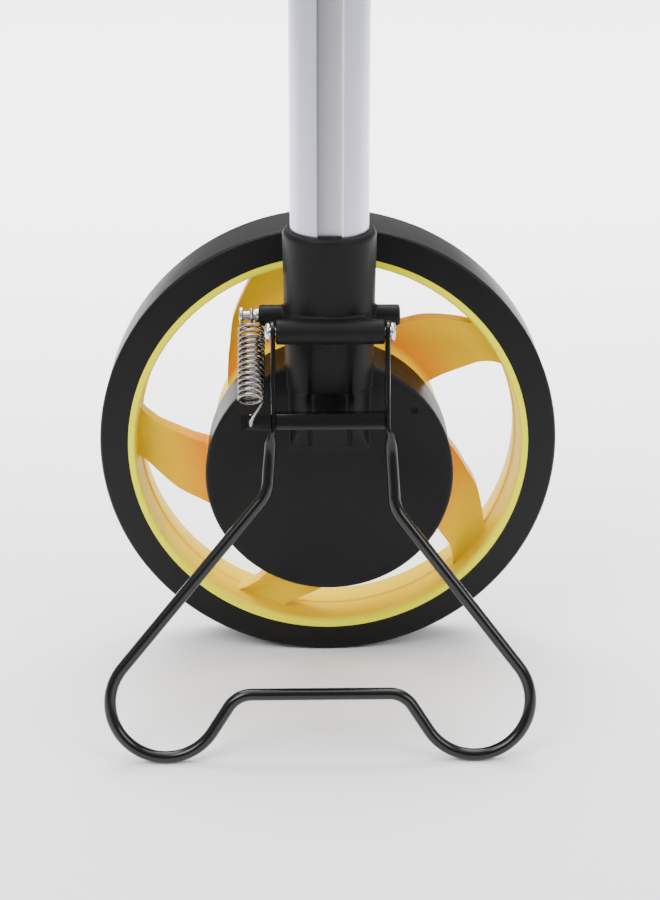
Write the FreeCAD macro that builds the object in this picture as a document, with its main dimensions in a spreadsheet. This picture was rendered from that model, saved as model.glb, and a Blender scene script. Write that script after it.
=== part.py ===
"""Digital measuring wheel with a telescopic pole and a folding wire stand.

Frame: the origin is the tyre's ground contact, +Z is up, the wheel rolls along X and turns about Y.
The pole stands on the -Y side of the wheel. The stand is down and the pole is pushed together.
Lengths are millimetres.
"""
import FreeCAD
import Part
import math
import os
import Sketcher
from FreeCAD import Placement, Rotation, Vector

doc = FreeCAD.newDocument("measuring_wheel")
sheet = doc.addObject("Spreadsheet::Sheet", "Dims")
NODES = []

DIMENSIONS = {
    # wheel
    "wheel_r": 79.6, "tyre_half": 12.0, "tyre_seat_r": 69.7, "rim_bore_r": 67.0, "rim_half": 13.2,
    "drum_r": 40.5, "drum_wall": 2.6, "drum_front_y": -14.6, "drum_back_y": 9.0,
    "web_front_y": -9.0, "web_back_y": -6.0, "boss_r": 15.0, "boss_back_y": 12.0,
    "spoke_count": 5, "spoke_first_angle": 25.9, "spoke_hub_y": -11.0, "spoke_rim_y": -5.0,
    "spoke_hub_thick": 8.5, "spoke_rim_thick": 6.0, "spoke_lead_hub": 9.5, "spoke_lead_middle": 5.0,
    "spoke_trail_hub": 49.0, "spoke_trail_middle": 31.2, "spoke_trail_rim": 12.5, "spoke_middle_r": 53.5,
    "bearing_r": 11.0, "bearing_wide": 7.0, "axle_r": 4.0, "running_gap": 0.03,
    "magnet_r": 3.0, "magnet_thick": 3.0, "magnet_circle_r": 26.0,
    # bracket and its case
    "case_r": 41.7, "case_front_y": -38.9, "case_back_y": -15.2, "case_wall": 2.8,
    "pole_y": -34.0, "socket_top_z": 164.6, "socket_low_z": 112.7, "socket_top_r": 15.2, "socket_low_r": 14.5,
    "column_low_z": 92.0, "column_slope": 32.7, "groove_wide": 1.4, "groove_left_x": -7.1,
    "groove_right_x": 5.9, "screw_r": 1.6, "case_screw_r": 1.3, "case_screw_in": 7.2,
    "anchor_z": 135.3, "anchor_boss_r": 3.5, "anchor_boss_half": 23.0,
    "pivot_y": -50.0, "pivot_z": 134.8, "pivot_boss_r": 4.0, "pivot_boss_half": 17.0,
    "board_gap": 7.6, "board_thick": 1.6, "cable_r": 1.4, "cable_coil_r": 4.2,
    # pole
    "tube_wall": 1.1, "lower_r": 12.7, "lower_floor": 11.7, "channel_half": 3.85,
    "mid_r": 11.2, "mid_flat": 10.2, "upper_r": 9.8, "upper_flat": 8.8, "thin_wall": 1.0,
    "lower_low_z": 114.0, "lower_top_z": 368.0, "mid_low_z": 138.0, "mid_top_z": 402.0,
    "upper_low_z": 160.0, "upper_top_z": 446.0, "bush_long": 12.0, "slide_gap": 0.06,
    "collar_r": 16.4, "collar_long": 32.0, "lower_collar_z": 352.0, "upper_collar_z": 384.6,
    "lever_wide": 14.0, "lever_thick": 3.2, "lever_long": 27.0, "lever_pin_r": 1.5,
    # stand
    "stand_lean": 16.0, "wire_r": 2.0, "arm_x": 18.3, "arm_thick": 1.6, "arm_wide": 7.0,
    "arm_end": 33.5, "foot_r": 18.0, "foot_x": 50.4, "foot_skew": 3.7, "foot_rise": 33.0,
    "knee_x": 20.7, "knee_drop": 54.4, "knee_skew": 2.6, "knee_bend_r": 12.0, "cross_drop": 117.6,
    "cross_bend_r": 9.0, "shoulder_out": 0.8, "arm_hole_r": 1.7, "bar_drop": 26.0,
    "bar_flange": 11.6, "bar_high": 5.0, "bar_thick": 1.2, "hook_x": -25.4,
    "coil_r": 3.875, "coil_wire_r": 0.575, "coil_turns": 13.5, "coil_long": 26.5, "loop_r": 2.15,
    # handle
    "handle_low_z": 417.4, "handle_screw_r": 1.2, "handle_pin_r": 1.5, "head_half": 22.0,
    "grip_half": 15.0, "shell_wall": 2.4,
    "face_turn": 31.6, "face_x": 2.0, "face_z": 478.0, "grip_turn": 216.87, "grip_x": -9.0, "grip_z": 464.0,
    "grip_long": 118.0, "grip_high": 14.5, "grip_round": 9.0, "sleeve_thick": 1.8, "lens_thick": 1.6,
    "button_r": 4.5, "key_row": 19.0, "key_step": 12.5, "cell_r": 5.2, "cell_long": 44.4, "cell_start": 24.0,
    "strap_r": 2.6,
}


def fill_sheet():
    """Put every driving dimension in the sheet, one row each, under its own alias."""
    for row, (name, number) in enumerate(DIMENSIONS.items(), start=1):
        sheet.set(f"A{row}", name)
        sheet.set(f"B{row}", str(number))
        sheet.setAlias(f"B{row}", name)
    doc.recompute()


def size(formula):
    """Value of a formula of sheet names."""
    return float(sheet.evalExpression(str(formula)))


def linked(formula):
    """The formula as other objects write it, with the sheet's name before each alias."""
    words = sorted(DIMENSIONS, key=len, reverse=True)
    text = str(formula)
    for index, word in enumerate(words):
        text = text.replace(word, f"@{index}@")
    for index, word in enumerate(words):
        text = text.replace(f"@{index}@", f"Dims.{word}")
    return text


def bind(item, prop, formula):
    """Tie one property to the sheet."""
    item.setExpression(prop, linked(formula))


def primitive(kind, at, turn=None, **sizes):
    """A Part primitive with its sizes and its corner or centre tied to the sheet."""
    item = doc.addObject(f"Part::{kind}", kind)
    for prop, formula in sizes.items():
        bind(item, prop, formula)
    if turn:
        item.Placement.Rotation = Rotation(Vector(*turn[:3]), turn[3])
    for letter, formula in zip("xyz", at):
        bind(item, f"Placement.Base.{letter}", formula)
    return item


def rod(at, axis, radius, long):
    """A cylinder that starts at a point and runs along an axis letter, with - for backwards."""
    turns = {"x": (0, 1, 0, 90), "-x": (0, 1, 0, -90), "y": (1, 0, 0, -90), "-y": (1, 0, 0, 90),
             "z": None, "-z": (1, 0, 0, 180)}
    return primitive("Cylinder", at, turns[axis], Radius=radius, Height=long)


def cone(at, axis, start_radius, end_radius, long):
    """A cone along an axis letter."""
    turns = {"x": (0, 1, 0, 90), "y": (1, 0, 0, -90), "-y": (1, 0, 0, 90), "z": None}
    return primitive("Cone", at, turns[axis], Radius1=start_radius, Radius2=end_radius, Height=long)


def block(low, long):
    """A box from its low corner and its three lengths."""
    return primitive("Box", low, Length=long[0], Width=long[1], Height=long[2])


def fuse(*items):
    """One solid from several."""
    if len(items) == 1:
        return items[0]
    item = doc.addObject("Part::MultiFuse", "Fuse")
    item.Shapes = list(items)
    item.Refine = True
    return item


def cut(base, *tools):
    """Base with the tools taken away."""
    item = doc.addObject("Part::Cut", "Cut")
    item.Base = base
    item.Tool = fuse(*tools)
    item.Refine = True
    return item


def common(first, second):
    """What two solids share."""
    item = doc.addObject("Part::Common", "Common")
    item.Base = first
    item.Tool = second
    return item


def group(*items):
    """Separate solids that are one node."""
    item = doc.addObject("Part::Compound", "Group")
    item.Links = list(items)
    return item


def rounded(base, radius, chosen):
    """Base with the edges that the test chooses rounded."""
    doc.recompute()
    item = doc.addObject("Part::Fillet", "Fillet")
    item.Base = base
    item.Edges = [(n, radius, radius) for n, edge in enumerate(base.Shape.Edges, start=1) if chosen(edge)]
    return item


def node(item, label):
    """Give a finished sub-part its name."""
    item.Label = label
    NODES.append(item)
    return item


def new_body(name):
    """An empty body."""
    return doc.addObject("PartDesign::Body", name)


def new_sketch(body, role):
    """A sketch on one of the body's own origin planes."""
    sketch = body.newObject("Sketcher::SketchObject", "Sketch")
    plane = [part for part in body.Origin.OriginFeatures if part.Role == role][0]
    sketch.AttachmentSupport = [(plane, "")]
    sketch.MapMode = "FlatFace"
    return sketch


def pin_point(sketch, index, end, formulas):
    """Fix one end of a line or arc to two formulas."""
    for kind, formula in zip(("DistanceX", "DistanceY"), formulas):
        place = sketch.addConstraint(Sketcher.Constraint(kind, -1, 1, index, end, size(formula)))
        sketch.setExpression(f"Constraints[{place}]", linked(formula))


def outline(sketch, points):
    """A closed outline of straight lines through points given as pairs of formulas."""
    spots = [Vector(size(x), size(y), 0) for x, y in points]
    count = len(spots)
    first = sketch.GeometryCount
    for n in range(count):
        sketch.addGeometry(Part.LineSegment(spots[n], spots[(n + 1) % count]), False)
    for n in range(count):
        following = first + (n + 1) % count
        sketch.addConstraint(Sketcher.Constraint("Coincident", first + n, 2, following, 1))
    for n, formulas in enumerate(points):
        pin_point(sketch, first + n, 1, formulas)


def circle(sketch, x, y, radius):
    """A circle whose centre and radius are formulas."""
    index = sketch.addGeometry(Part.Circle(Vector(size(x), size(y), 0), Vector(0, 0, 1), size(radius)), False)
    pin_point(sketch, index, 3, (x, y))
    place = sketch.addConstraint(Sketcher.Constraint("Radius", index, size(radius)))
    sketch.setExpression(f"Constraints[{place}]", linked(radius))


def turned(name, points, at=("0", "0", "wheel_r"), axis="y"):
    """A turned piece: its half section, as (radius, place along the axis) pairs, spun all round."""
    body = new_body(name)
    sketch = new_sketch(body, "XY_Plane" if axis == "y" else "XZ_Plane")
    outline(sketch, points)
    spin = body.newObject("PartDesign::Revolution", "Spin")
    spin.Profile = sketch
    spin.ReferenceAxis = (sketch, ["V_Axis"])
    spin.Angle = 360
    for letter, formula in zip("xyz", at):
        bind(body, f"Placement.Base.{letter}", formula)
    return body


def padded(name, role, points, long, midplane=False, reverse=False):
    """A straight pad of an outline on one of the body's planes."""
    body = new_body(name)
    sketch = new_sketch(body, role)
    outline(sketch, points)
    pad = body.newObject("PartDesign::Pad", "Pad")
    pad.Profile = sketch
    bind(pad, "Length", long)
    pad.SideType = 2 if midplane else 0
    pad.Reversed = reverse
    return body


# ---- the wheel -------------------------------------------------------------------------------

def make_tyre():
    """Rubber tyre: flat tread, slightly crowned faces, eased shoulders."""
    points = [("tyre_seat_r", "-rim_half"), ("wheel_r - 1.2", "-tyre_half - 0.2"),
              ("wheel_r", "-tyre_half + 1.2"), ("wheel_r", "tyre_half - 1.2"),
              ("wheel_r - 1.2", "tyre_half + 0.2"), ("tyre_seat_r", "rim_half")]
    node(turned("Tyre", points), "tyre")


def spoke_blade():
    """One broad swept blade, wide at the drum and narrow at the rim, between two arcs."""
    first = size("spoke_first_angle")
    inner = size("drum_r - drum_wall / 2")
    outer = size("(rim_bore_r + tyre_seat_r) / 2")

    def polar(radius, degrees):
        angle = math.radians(degrees + first)
        return Vector(radius * math.cos(angle), radius * math.sin(angle), 0)
    body = new_body("Spoke")
    sketch = new_sketch(body, "XZ_Plane")
    middle = size("spoke_middle_r")
    lead_hub = polar(inner, size("spoke_lead_hub"))
    lead_middle = polar(middle, size("spoke_lead_middle"))
    lead_rim = polar(outer, 0)
    trail_hub = polar(inner, size("spoke_trail_hub"))
    trail_middle = polar(middle, size("spoke_trail_middle"))
    trail_rim = polar(outer, size("spoke_trail_rim"))
    edges = [Part.Arc(lead_rim, lead_middle, lead_hub), Part.LineSegment(lead_hub, trail_hub),
             Part.Arc(trail_hub, trail_middle, trail_rim), Part.LineSegment(trail_rim, lead_rim)]
    for edge in edges:
        sketch.addConstraint(Sketcher.Constraint("Block", sketch.addGeometry(edge, False)))
    pad = body.newObject("PartDesign::Pad", "Pad")
    pad.Profile = sketch
    bind(pad, "Length", "drum_r")
    pad.SideType = 2
    slope = turned("SpokeSlope", [("drum_r - drum_wall", "spoke_hub_y"), ("tyre_seat_r", "spoke_rim_y"),
                                  ("tyre_seat_r", "spoke_rim_y + spoke_rim_thick"),
                                  ("drum_r - drum_wall", "spoke_hub_y + spoke_hub_thick")],
                   at=("0", "0", "0"))
    doc.recompute()
    return pad.Shape.common(slope.Shape)


def make_wheel_rim():
    """Moulded wheel, as its rim, its drum, the drum's web and bearing boss, and its blades."""
    rim = turned("Rim", [("rim_bore_r + 0.6", "-rim_half"), ("tyre_seat_r", "-rim_half"),
                         ("tyre_seat_r", "rim_half"), ("rim_bore_r", "rim_half"), ("rim_bore_r - 0.7", "0"),
                         ("rim_bore_r", "-rim_half + 2")])
    node(rim, "wheel_rim")
    inside = "drum_r - drum_wall"
    drum = turned("Drum", [(inside, "drum_front_y"), ("drum_r", "drum_front_y"), ("drum_r", "drum_back_y"),
                           (inside, "drum_back_y")])
    node(drum, "hub_drum")
    web = turned("Web", [("boss_r", "web_front_y"), (inside, "web_front_y"), (inside, "web_back_y"),
                         ("boss_r", "web_back_y")])
    seats = [magnet_rod(n, "magnet_r", "web_front_y - 2") for n in range(4)]
    pads = [magnet_rod(n, "magnet_r + 1.6", "web_front_y + 0.5", "magnet_thick - 0.5") for n in range(4)]
    node(cut(fuse(web, *pads), *seats), "hub_web")
    boss = turned("Boss", [
        ("bearing_r", "web_front_y - 2.5"), ("boss_r", "web_front_y - 2.5"), ("boss_r", "boss_back_y"),
        ("bearing_r", "boss_back_y"), ("bearing_r", "boss_back_y - bearing_wide"),
        ("bearing_r - 2", "boss_back_y - bearing_wide"),
        ("bearing_r - 2", "web_front_y - 2.5 + bearing_wide"),
        ("bearing_r", "web_front_y - 2.5 + bearing_wide")])
    node(boss, "hub_boss")
    blade_shape = spoke_blade()
    for n in range(int(size("spoke_count"))):
        blade = doc.addObject("Part::Feature", "Blade")
        blade.Shape = blade_shape.copy()
        blade.Placement = Placement(Vector(0, 0, size("wheel_r")), Rotation(Vector(0, 1, 0), -72 * n))
        node(cut(blade, rim, drum), f"spoke_{n + 1}")


def magnet_rod(n, radius, back_y, extra="0"):
    """A cylinder on the magnets' circle, from back_y towards the case."""
    angle = math.radians(45 + 90 * n)
    x = f"magnet_circle_r * {math.cos(angle):.6f}"
    z = f"wheel_r + magnet_circle_r * {math.sin(angle):.6f}"
    return rod((x, back_y, z), "-y", radius, f"magnet_thick + {extra}")


def make_hub_magnets():
    """Four disc magnets seated in the hub web; the sensors in the case count them."""
    magnets = [magnet_rod(n, "magnet_r", "web_front_y - 2") for n in range(4)]
    node(group(*magnets), "hub_magnets")


def make_bearings():
    """Two ball bearings, drawn as closed rings, pressed in the hub."""
    rings = []
    for low in ("web_front_y - 2.5", "boss_back_y - bearing_wide"):
        outer = rod(("0", low, "wheel_r"), "y", "bearing_r", "bearing_wide")
        hole = rod(("0", f"{low} - 1", "wheel_r"), "y", "axle_r + running_gap", "bearing_wide + 2")
        rings.append(cut(outer, hole))
    node(group(*rings), "wheel_bearings")


def make_axle_set():
    """Fixed axle with a shoulder, its washer and its nut, and the cap over them."""
    axle = turned("Axle", [("0", "case_front_y + 5"), ("axle_r + 1", "case_front_y + 5"),
                           ("axle_r + 1", "case_back_y + 0.4"), ("axle_r + 2.6", "case_back_y + 0.4"),
                           ("axle_r + 2.6", "web_front_y - 2.8"), ("axle_r", "web_front_y - 2.8"),
                           ("axle_r", "boss_back_y + 6.6"), ("axle_r - 0.6", "boss_back_y + 7.2"),
                           ("0", "boss_back_y + 7.2")])
    node(axle, "axle")
    washer = cut(rod(("0", "boss_back_y + 0.3", "wheel_r"), "y", "axle_r + 3.6", "0.8"),
                 rod(("0", "boss_back_y", "wheel_r"), "y", "axle_r", "2"))
    node(washer, "axle_washer")
    nut = primitive("Prism", ("0", "boss_back_y + 1.1", "wheel_r"), (1, 0, 0, -90),
                    Circumradius="axle_r * 1.62 + 0.3", Height="5")
    nut.Polygon = 6
    node(cut(nut, rod(("0", "boss_back_y", "wheel_r"), "y", "axle_r", "9")), "axle_nut")
    cap = turned("Cap", [("boss_r + 0.02", "boss_back_y - 5"), ("boss_r + 1.6", "boss_back_y - 5"),
                         ("boss_r + 1.6", "boss_back_y + 6"), ("boss_r - 1.5", "boss_back_y + 9.6"),
                         ("0", "boss_back_y + 9.6"), ("0", "boss_back_y + 8"),
                         ("boss_r - 2.2", "boss_back_y + 8"),
                         ("boss_r + 0.02", "boss_back_y + 5.3")])
    node(cap, "hub_cap")


# ---- the bracket and what it holds --------------------------------------------------------------

def make_bracket():
    """Black moulding: round case, pole socket with its ribs, cross boss and stand boss."""
    post_long = "case_back_y - case_front_y - 1.4 - case_wall"
    case = rod(("0", "case_front_y", "wheel_r"), "y", "case_r", "case_back_y - case_front_y")
    case = rounded(case, 1.0, lambda edge: edge.BoundBox.YMax < size("case_front_y + 0.1"))
    room = rod(("0", "case_front_y + case_wall", "wheel_r"), "y", "case_r - case_wall", "60")
    shell = cut(case, room)
    boss = rod(("0", "case_front_y + 1", "wheel_r"), "y", "axle_r + 4.5", post_long)
    posts = [rod((x, "case_front_y + 1", z), "y", "case_screw_r + 2.1", post_long) for x, z in screw_spots()]
    socket = cone(("0", "pole_y", "socket_low_z"), "z", "socket_low_r", "socket_top_r",
                  "socket_top_z - socket_low_z")
    socket = rounded(socket, 1.6, lambda edge: edge.BoundBox.ZMin > size("socket_top_z - 0.1"))
    heel = block(("-socket_low_r", "pole_y - 4", "socket_low_z"), ("socket_low_r * 2", "15", "10"))
    cross = rod(("-anchor_boss_half", "pole_y", "anchor_z"), "x", "anchor_boss_r", "anchor_boss_half * 2")
    pivot = rod(("-pivot_boss_half", "pivot_y", "pivot_z"), "x", "pivot_boss_r", "pivot_boss_half * 2")
    neck = block(("-pivot_boss_half + 4", "pivot_y", "pivot_z - pivot_boss_r + 0.4"),
                 ("pivot_boss_half * 2 - 8", "8", "pivot_boss_r * 2 - 0.8"))
    solid = fuse(shell, boss, *posts, socket, sloped_column(), heel, cross, pivot, neck)
    node(cut(solid, *column_grooves(), *bracket_bores()), "bracket")


def sloped_column():
    """The column under the socket, cut away at its foot by a slope down to the case."""
    column = rod(("0", "pole_y", "column_low_z - 2"), "z", "socket_low_r - 0.5",
                 "socket_low_z - column_low_z + 4")
    slope = primitive("Box", ("-20", "pole_y - socket_low_r + 0.5", "column_low_z + 12"),
                      (1, 0, 0, 180 + size("column_slope")), Length="40", Width="30", Height="40")
    return cut(column, slope)


def column_grooves():
    """The two grooves down the front, shallow in the socket and deeper in the column."""
    stretches = [("socket_low_z", "14.5", "5.1"),
                 ("column_low_z - 6", "socket_low_z - column_low_z + 6", "6.6")]
    return [block((x, "pole_y - socket_low_r - 4", low), ("groove_wide", deep, high))
            for x in ("groove_left_x", "groove_right_x") for low, high, deep in stretches]


def bracket_bores():
    """Everything bored or hollowed in the bracket: pole, cable, axle, sight dimple and screw holes."""
    bores = [block(("-16", "pole_y + 3.5", "column_low_z - 3"), ("32", "14", "18.6")),
             rod(("0", "pole_y", "lower_low_z - 0.5"), "z", "lower_r + slide_gap", "80"),
             rod(("0", "pole_y", "wheel_r + 22"), "z", "3.2", "40"),
             rod(("0", "pole_y", "wheel_r + 25"), "y", "cable_r + 0.6", "14"),
             rod(("0", "case_front_y + 5", "wheel_r"), "y", "axle_r + 1", "60"),
             rod(("magnet_circle_r + 2", "case_front_y - 1", "wheel_r + 24"), "y", "1.1", "1.6"),
             rod(("-anchor_boss_half - 1", "pole_y", "anchor_z"), "x", "screw_r - 0.1", "9"),
             rod(("0", "pole_y + 9", "socket_top_z - 12"), "y", "screw_r", "12"),
             rod(("-pivot_boss_half - 1", "pivot_y", "pivot_z"), "x", "screw_r", "10"),
             rod(("pivot_boss_half + 1", "pivot_y", "pivot_z"), "-x", "screw_r", "10")]
    return bores + [rod((x, "case_back_y - 14", z), "y", "case_screw_r", "14") for x, z in screw_spots()]


def screw_spots():
    """Where the three case screws stand."""
    spots = []
    for degrees in (30, 150, 270):
        angle = math.radians(degrees)
        spots.append((f"(case_r - case_screw_in) * {math.cos(angle):.6f}",
                      f"wheel_r + (case_r - case_screw_in) * {math.sin(angle):.6f}"))
    return spots


def make_case_cover():
    """Disc that closes the case on the wheel's side, and its three screws."""
    disc = rod(("0", "case_back_y - 2.4", "wheel_r"), "y", "case_r - case_wall - 0.1", "2")
    holes = [rod((x, "case_back_y - 4", z), "y", "case_screw_r + 0.4", "6") for x, z in screw_spots()]
    node(cut(disc, rod(("0", "case_back_y - 4", "wheel_r"), "y", "axle_r + 1.1", "6"), *holes), "case_cover")
    screws = []
    for x, z in screw_spots():
        shank = rod((x, "case_back_y - 11", z), "y", "case_screw_r", "10.8")
        head = cone((x, "case_back_y - 0.4", z), "y", "2.8", "2.3", "0.9")
        screws.append(fuse(shank, head))
    node(group(*screws), "case_screws")


def make_sensor_parts():
    """Sensor board in the case behind its cover, two sensors on it, and the cable up to the handle."""
    board = block(("-26", "case_back_y - board_gap", "wheel_r + 9.5"), ("40", "board_thick", "18"))
    clear = [rod((x, "case_back_y - 20", z), "y", "case_screw_r + 2.3", "20") for x, z in screw_spots()]
    node(cut(board, *clear), "sensor_board")
    chips = [block((x, "case_back_y - board_gap + board_thick", "wheel_r + 16"), ("4", "2.6", "5"))
             for x in ("-22", "-6")]
    node(group(*chips), "hall_sensors")
    lead = rod(("0", "pole_y", "wheel_r + 24"), "z", "cable_r", "upper_top_z - 12 - wheel_r - 24")
    coil = rod(("0", "pole_y", "upper_low_z + 30"), "z", "cable_coil_r", "180")
    tail = rod(("0", "pole_y", "wheel_r + 25"), "y", "cable_r", "case_back_y - board_gap - pole_y")
    node(fuse(lead, coil, tail), "signal_cable")


def make_small_screws():
    """The stand's two pivot screws, the spring's screw and washer, and the socket's screw."""
    screws = []
    for side, axis in ((-1, "x"), (1, "-x")):
        face = f"{side} * (arm_x + arm_thick / 2 + 0.35)"
        shank = rod((face, "pivot_y", "pivot_z"), axis, "screw_r", "11")
        dome = primitive("Sphere", (face, "pivot_y", "pivot_z"), (0, 1, 0, 90 * side), Radius="screw_r + 1.5")
        dome.Angle1 = 0
        top = block((f"{face} - 4 + {side * 5.6}", "pivot_y - 4", "pivot_z - 4"), ("8", "8", "8"))
        screws.append(fuse(shank, cut(dome, top)))
    node(group(*screws), "pivot_screws")
    shank = rod(("-anchor_boss_half - 5.2", "pole_y", "anchor_z"), "x", "screw_r - 0.1", "12")
    head = rod(("-anchor_boss_half - 6.4", "pole_y", "anchor_z"), "x", "2.8", "1.3")
    node(fuse(shank, head), "spring_screw")
    washer = cut(rod(("-anchor_boss_half - 1.4", "pole_y", "anchor_z"), "x", "2.3", "1.4"),
                 rod(("-anchor_boss_half - 3", "pole_y", "anchor_z"), "x", "screw_r - 0.1", "6"))
    node(washer, "spring_washer")
    stem = rod(("0", "pole_y + lower_r - 1.05", "socket_top_z - 12"), "y", "screw_r", "4")
    cap = rod(("0", "pole_y + lower_r + 2.5", "socket_top_z - 12"), "y", "2.8", "1.6")
    node(fuse(stem, cap), "socket_screw")


# ---- the stand ----------------------------------------------------------------------------------

def leg_runs(skew):
    """One leg of the stand from its arm to the cross run, at +X; the skew moves its foot and knee."""
    foot_low = size("(pivot_z - wire_r) / cos(stand_lean)")
    loop, cross = size("foot_r"), size("cross_drop")
    foot = Vector(size("foot_x") - skew * size("foot_skew"), loop - foot_low, 0)
    start = Vector(size("arm_x + shoulder_out"), -size("arm_end - 1"), 0)
    knee = Vector(size("knee_x"), -size("knee_drop") - skew * size("knee_skew"), 0)
    reach = foot - knee
    heading = math.atan2(reach.y, reach.x) + math.asin(loop / reach.Length)
    run = Vector(math.cos(heading), math.sin(heading), 0)
    outer = knee + run * math.sqrt(reach.Length ** 2 - loop ** 2)
    rise = math.radians(size("foot_rise"))
    inner = foot - Vector(math.cos(rise), math.sin(rise), 0) * loop
    climb = Vector(-math.sin(rise), math.cos(rise), 0)
    corner = inner + climb * ((-cross - inner.y) / climb.y)
    ease = size("cross_bend_r") * math.tan((math.pi / 2 - rise) / 2)
    back = (start - knee).normalize()
    bend = size("knee_bend_r") * math.tan(run.getAngle(back * -1) / 2)
    before, after = knee + back * bend, knee + run * bend
    above, along = corner - climb * ease, corner - Vector(ease, 0, 0)
    return [Part.LineSegment(start, before), arc_between(before, after, knee), Part.LineSegment(after, outer),
            Part.Arc(outer, far_side(foot, loop, outer, inner), inner), Part.LineSegment(inner, above),
            arc_between(above, along, corner)]


def make_stand_wire():
    """Bent wire with two feet and a cross run; its ends are flattened into pierced arms."""
    body = new_body("Wire")
    path = new_sketch(body, "XZ_Plane")
    right = leg_runs(1)
    left = [flipped(run) for run in reversed(leg_runs(-1))]
    across = Part.LineSegment(right[-1].EndPoint, left[0].StartPoint)
    for run in right + [across] + left:
        index = path.addGeometry(run, False)
        path.addConstraint(Sketcher.Constraint("Block", index))
    start = right[0].StartPoint
    section = new_sketch(body, "XY_Plane")
    section.AttachmentOffset = Placement(Vector(start.x, 0, start.y), Rotation())
    circle(section, "0", "0", "wire_r")
    pipe = body.newObject("PartDesign::AdditivePipe", "Pipe")
    pipe.Profile = section
    pipe.Spine = path
    arms = []
    for side in (-1, 1):
        low = f"{side} * arm_x - arm_thick / 2"
        arms.append(block((low, "-arm_wide / 2", "-arm_end"), ("arm_thick", "arm_wide", "arm_end")))
        arms.append(rod((low, "0", "0"), "x", "arm_wide / 2", "arm_thick"))
    hole = rod(("-arm_x - 5", "0", "0"), "x", "arm_hole_r", "arm_x * 2 + 10")
    wire = cut(fuse(body, *arms), hole)
    place_stand(wire)
    node(wire, "stand_wire")


def far_side(centre, radius, first, last):
    """The point half way round the outside of a foot."""
    away = (first - centre) + (last - centre)
    return centre - away.normalize() * radius


def arc_between(first, last, corner):
    """Arc tangent to both runs of a corner."""
    half = first.sub(corner).getAngle(last.sub(corner)) / 2
    middle = ((first + last) * 0.5 - corner).normalize()
    leg = (first - corner).Length
    return Part.Arc(first, corner + middle * (leg / math.cos(half) - leg * math.tan(half)), last)


def flipped(shape):
    """The same run on the other side, walked the other way."""
    def over(point):
        return Vector(-point.x, point.y, 0)
    if isinstance(shape, Part.LineSegment):
        return Part.LineSegment(over(shape.EndPoint), over(shape.StartPoint))
    middle = shape.value((shape.FirstParameter + shape.LastParameter) / 2)
    first, last = shape.value(shape.FirstParameter), shape.value(shape.LastParameter)
    return Part.Arc(over(last), over(middle), over(first))


def place_stand(item):
    """Hang a piece drawn about the pivot from the stand boss, leaning outwards."""
    item.Placement.Rotation = Rotation(Vector(1, 0, 0), -size("stand_lean"))
    bind(item, "Placement.Base.y", "pivot_y")
    bind(item, "Placement.Base.z", "pivot_z")


def make_stand_bar():
    """Angle strip between the arms: its top flange meets the column, its end tab holds the spring."""
    front = block(("-arm_x + arm_thick / 2", "-2.4", "-bar_drop - bar_high"),
                  ("arm_x * 2 - arm_thick", "bar_thick", "bar_high"))
    top = block(("-arm_x + arm_thick / 2", "-2.4", "-bar_drop - bar_thick"),
                ("arm_x * 2 - arm_thick", "bar_flange", "bar_thick"))
    tab = block(("hook_x - 3.2", "-4.4 - bar_thick", "-bar_drop - bar_high"),
                ("-arm_x - hook_x + 3.2", "bar_thick", "bar_high"))
    hole = rod(("hook_x", "-12", "-bar_drop - bar_high / 2"), "y", "1.1", "20")
    link = block(("-arm_x - arm_thick / 2 - 1.6", "-4.4 - bar_thick", "-bar_drop - bar_high"),
                 ("1.6", "7", "bar_high"))
    bar = group(fuse(front, top), cut(fuse(tab, link), hole))
    place_stand(bar)
    node(bar, "stand_bar")


def hook_centres():
    """Centres of the spring's two end loops: on its screw, and above the hole in the tab."""
    lean = math.radians(size("stand_lean"))
    drop = size("bar_drop + bar_high / 2 - loop_r")
    out = size("4.4 + bar_thick / 2")
    high = Vector(size("hook_x"), size("pole_y"), size("anchor_z"))
    low = Vector(size("hook_x"), size("pivot_y") - drop * math.sin(lean) - out * math.cos(lean),
                 size("pivot_z") - drop * math.cos(lean) + out * math.sin(lean))
    return high, low


def make_stand_spring():
    """Extension spring: an open coil with a loop on each end, drawn from the upper loop down."""
    high, low = hook_centres()
    span = (low - high).Length
    long, coil_r, wire_r, loop_r = (size(name) for name in ("coil_long", "coil_r", "coil_wire_r", "loop_r"))
    start = (span - long) / 2
    axis = Vector(0, 0, 1)
    helix = Part.makeHelix(size("coil_long / coil_turns"), long, coil_r)
    ring = Part.Wire(Part.makeCircle(wire_r, Vector(coil_r, 0, 0), Vector(0, 1, 0)))
    coil = Part.Wire(helix).makePipeShell([ring], True, True)
    coil.translate(axis * start)
    ends = [Part.makeTorus(loop_r, wire_r, axis * place, Vector(1, 0, 0)) for place in (0, span)]
    stems = [Part.makeCylinder(wire_r, start - loop_r, axis * place) for place in (loop_r, start + long)]
    arms = [Part.makeCylinder(wire_r, coil_r, axis * start, Vector(1, 0, 0)),
            Part.makeCylinder(wire_r, coil_r, axis * (start + long), Vector(-1, 0, 0))]
    spring = doc.addObject("Part::Feature", "Spring")
    spring.Shape = coil.multiFuse(ends + stems + arms)
    spring.Placement = Placement(high, Rotation(Vector(1, 0, 0), math.degrees(axis.getAngle(low - high))))
    node(spring, "stand_spring")


# ---- the pole -----------------------------------------------------------------------------------

def pole_rod(radius, low, high):
    """A round bar on the pole's axis between two heights."""
    return rod(("0", "pole_y", low), "z", radius, f"{high} - ({low})")


def flatted(radius, flat, low, high):
    """A round bar on the pole's axis with one flat on its front."""
    trim = block(("-20", f"pole_y - ({flat}) - 20", f"{low} - 1"), ("40", "20", f"{high} - ({low}) + 2"))
    return cut(pole_rod(radius, low, high), trim)


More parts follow.
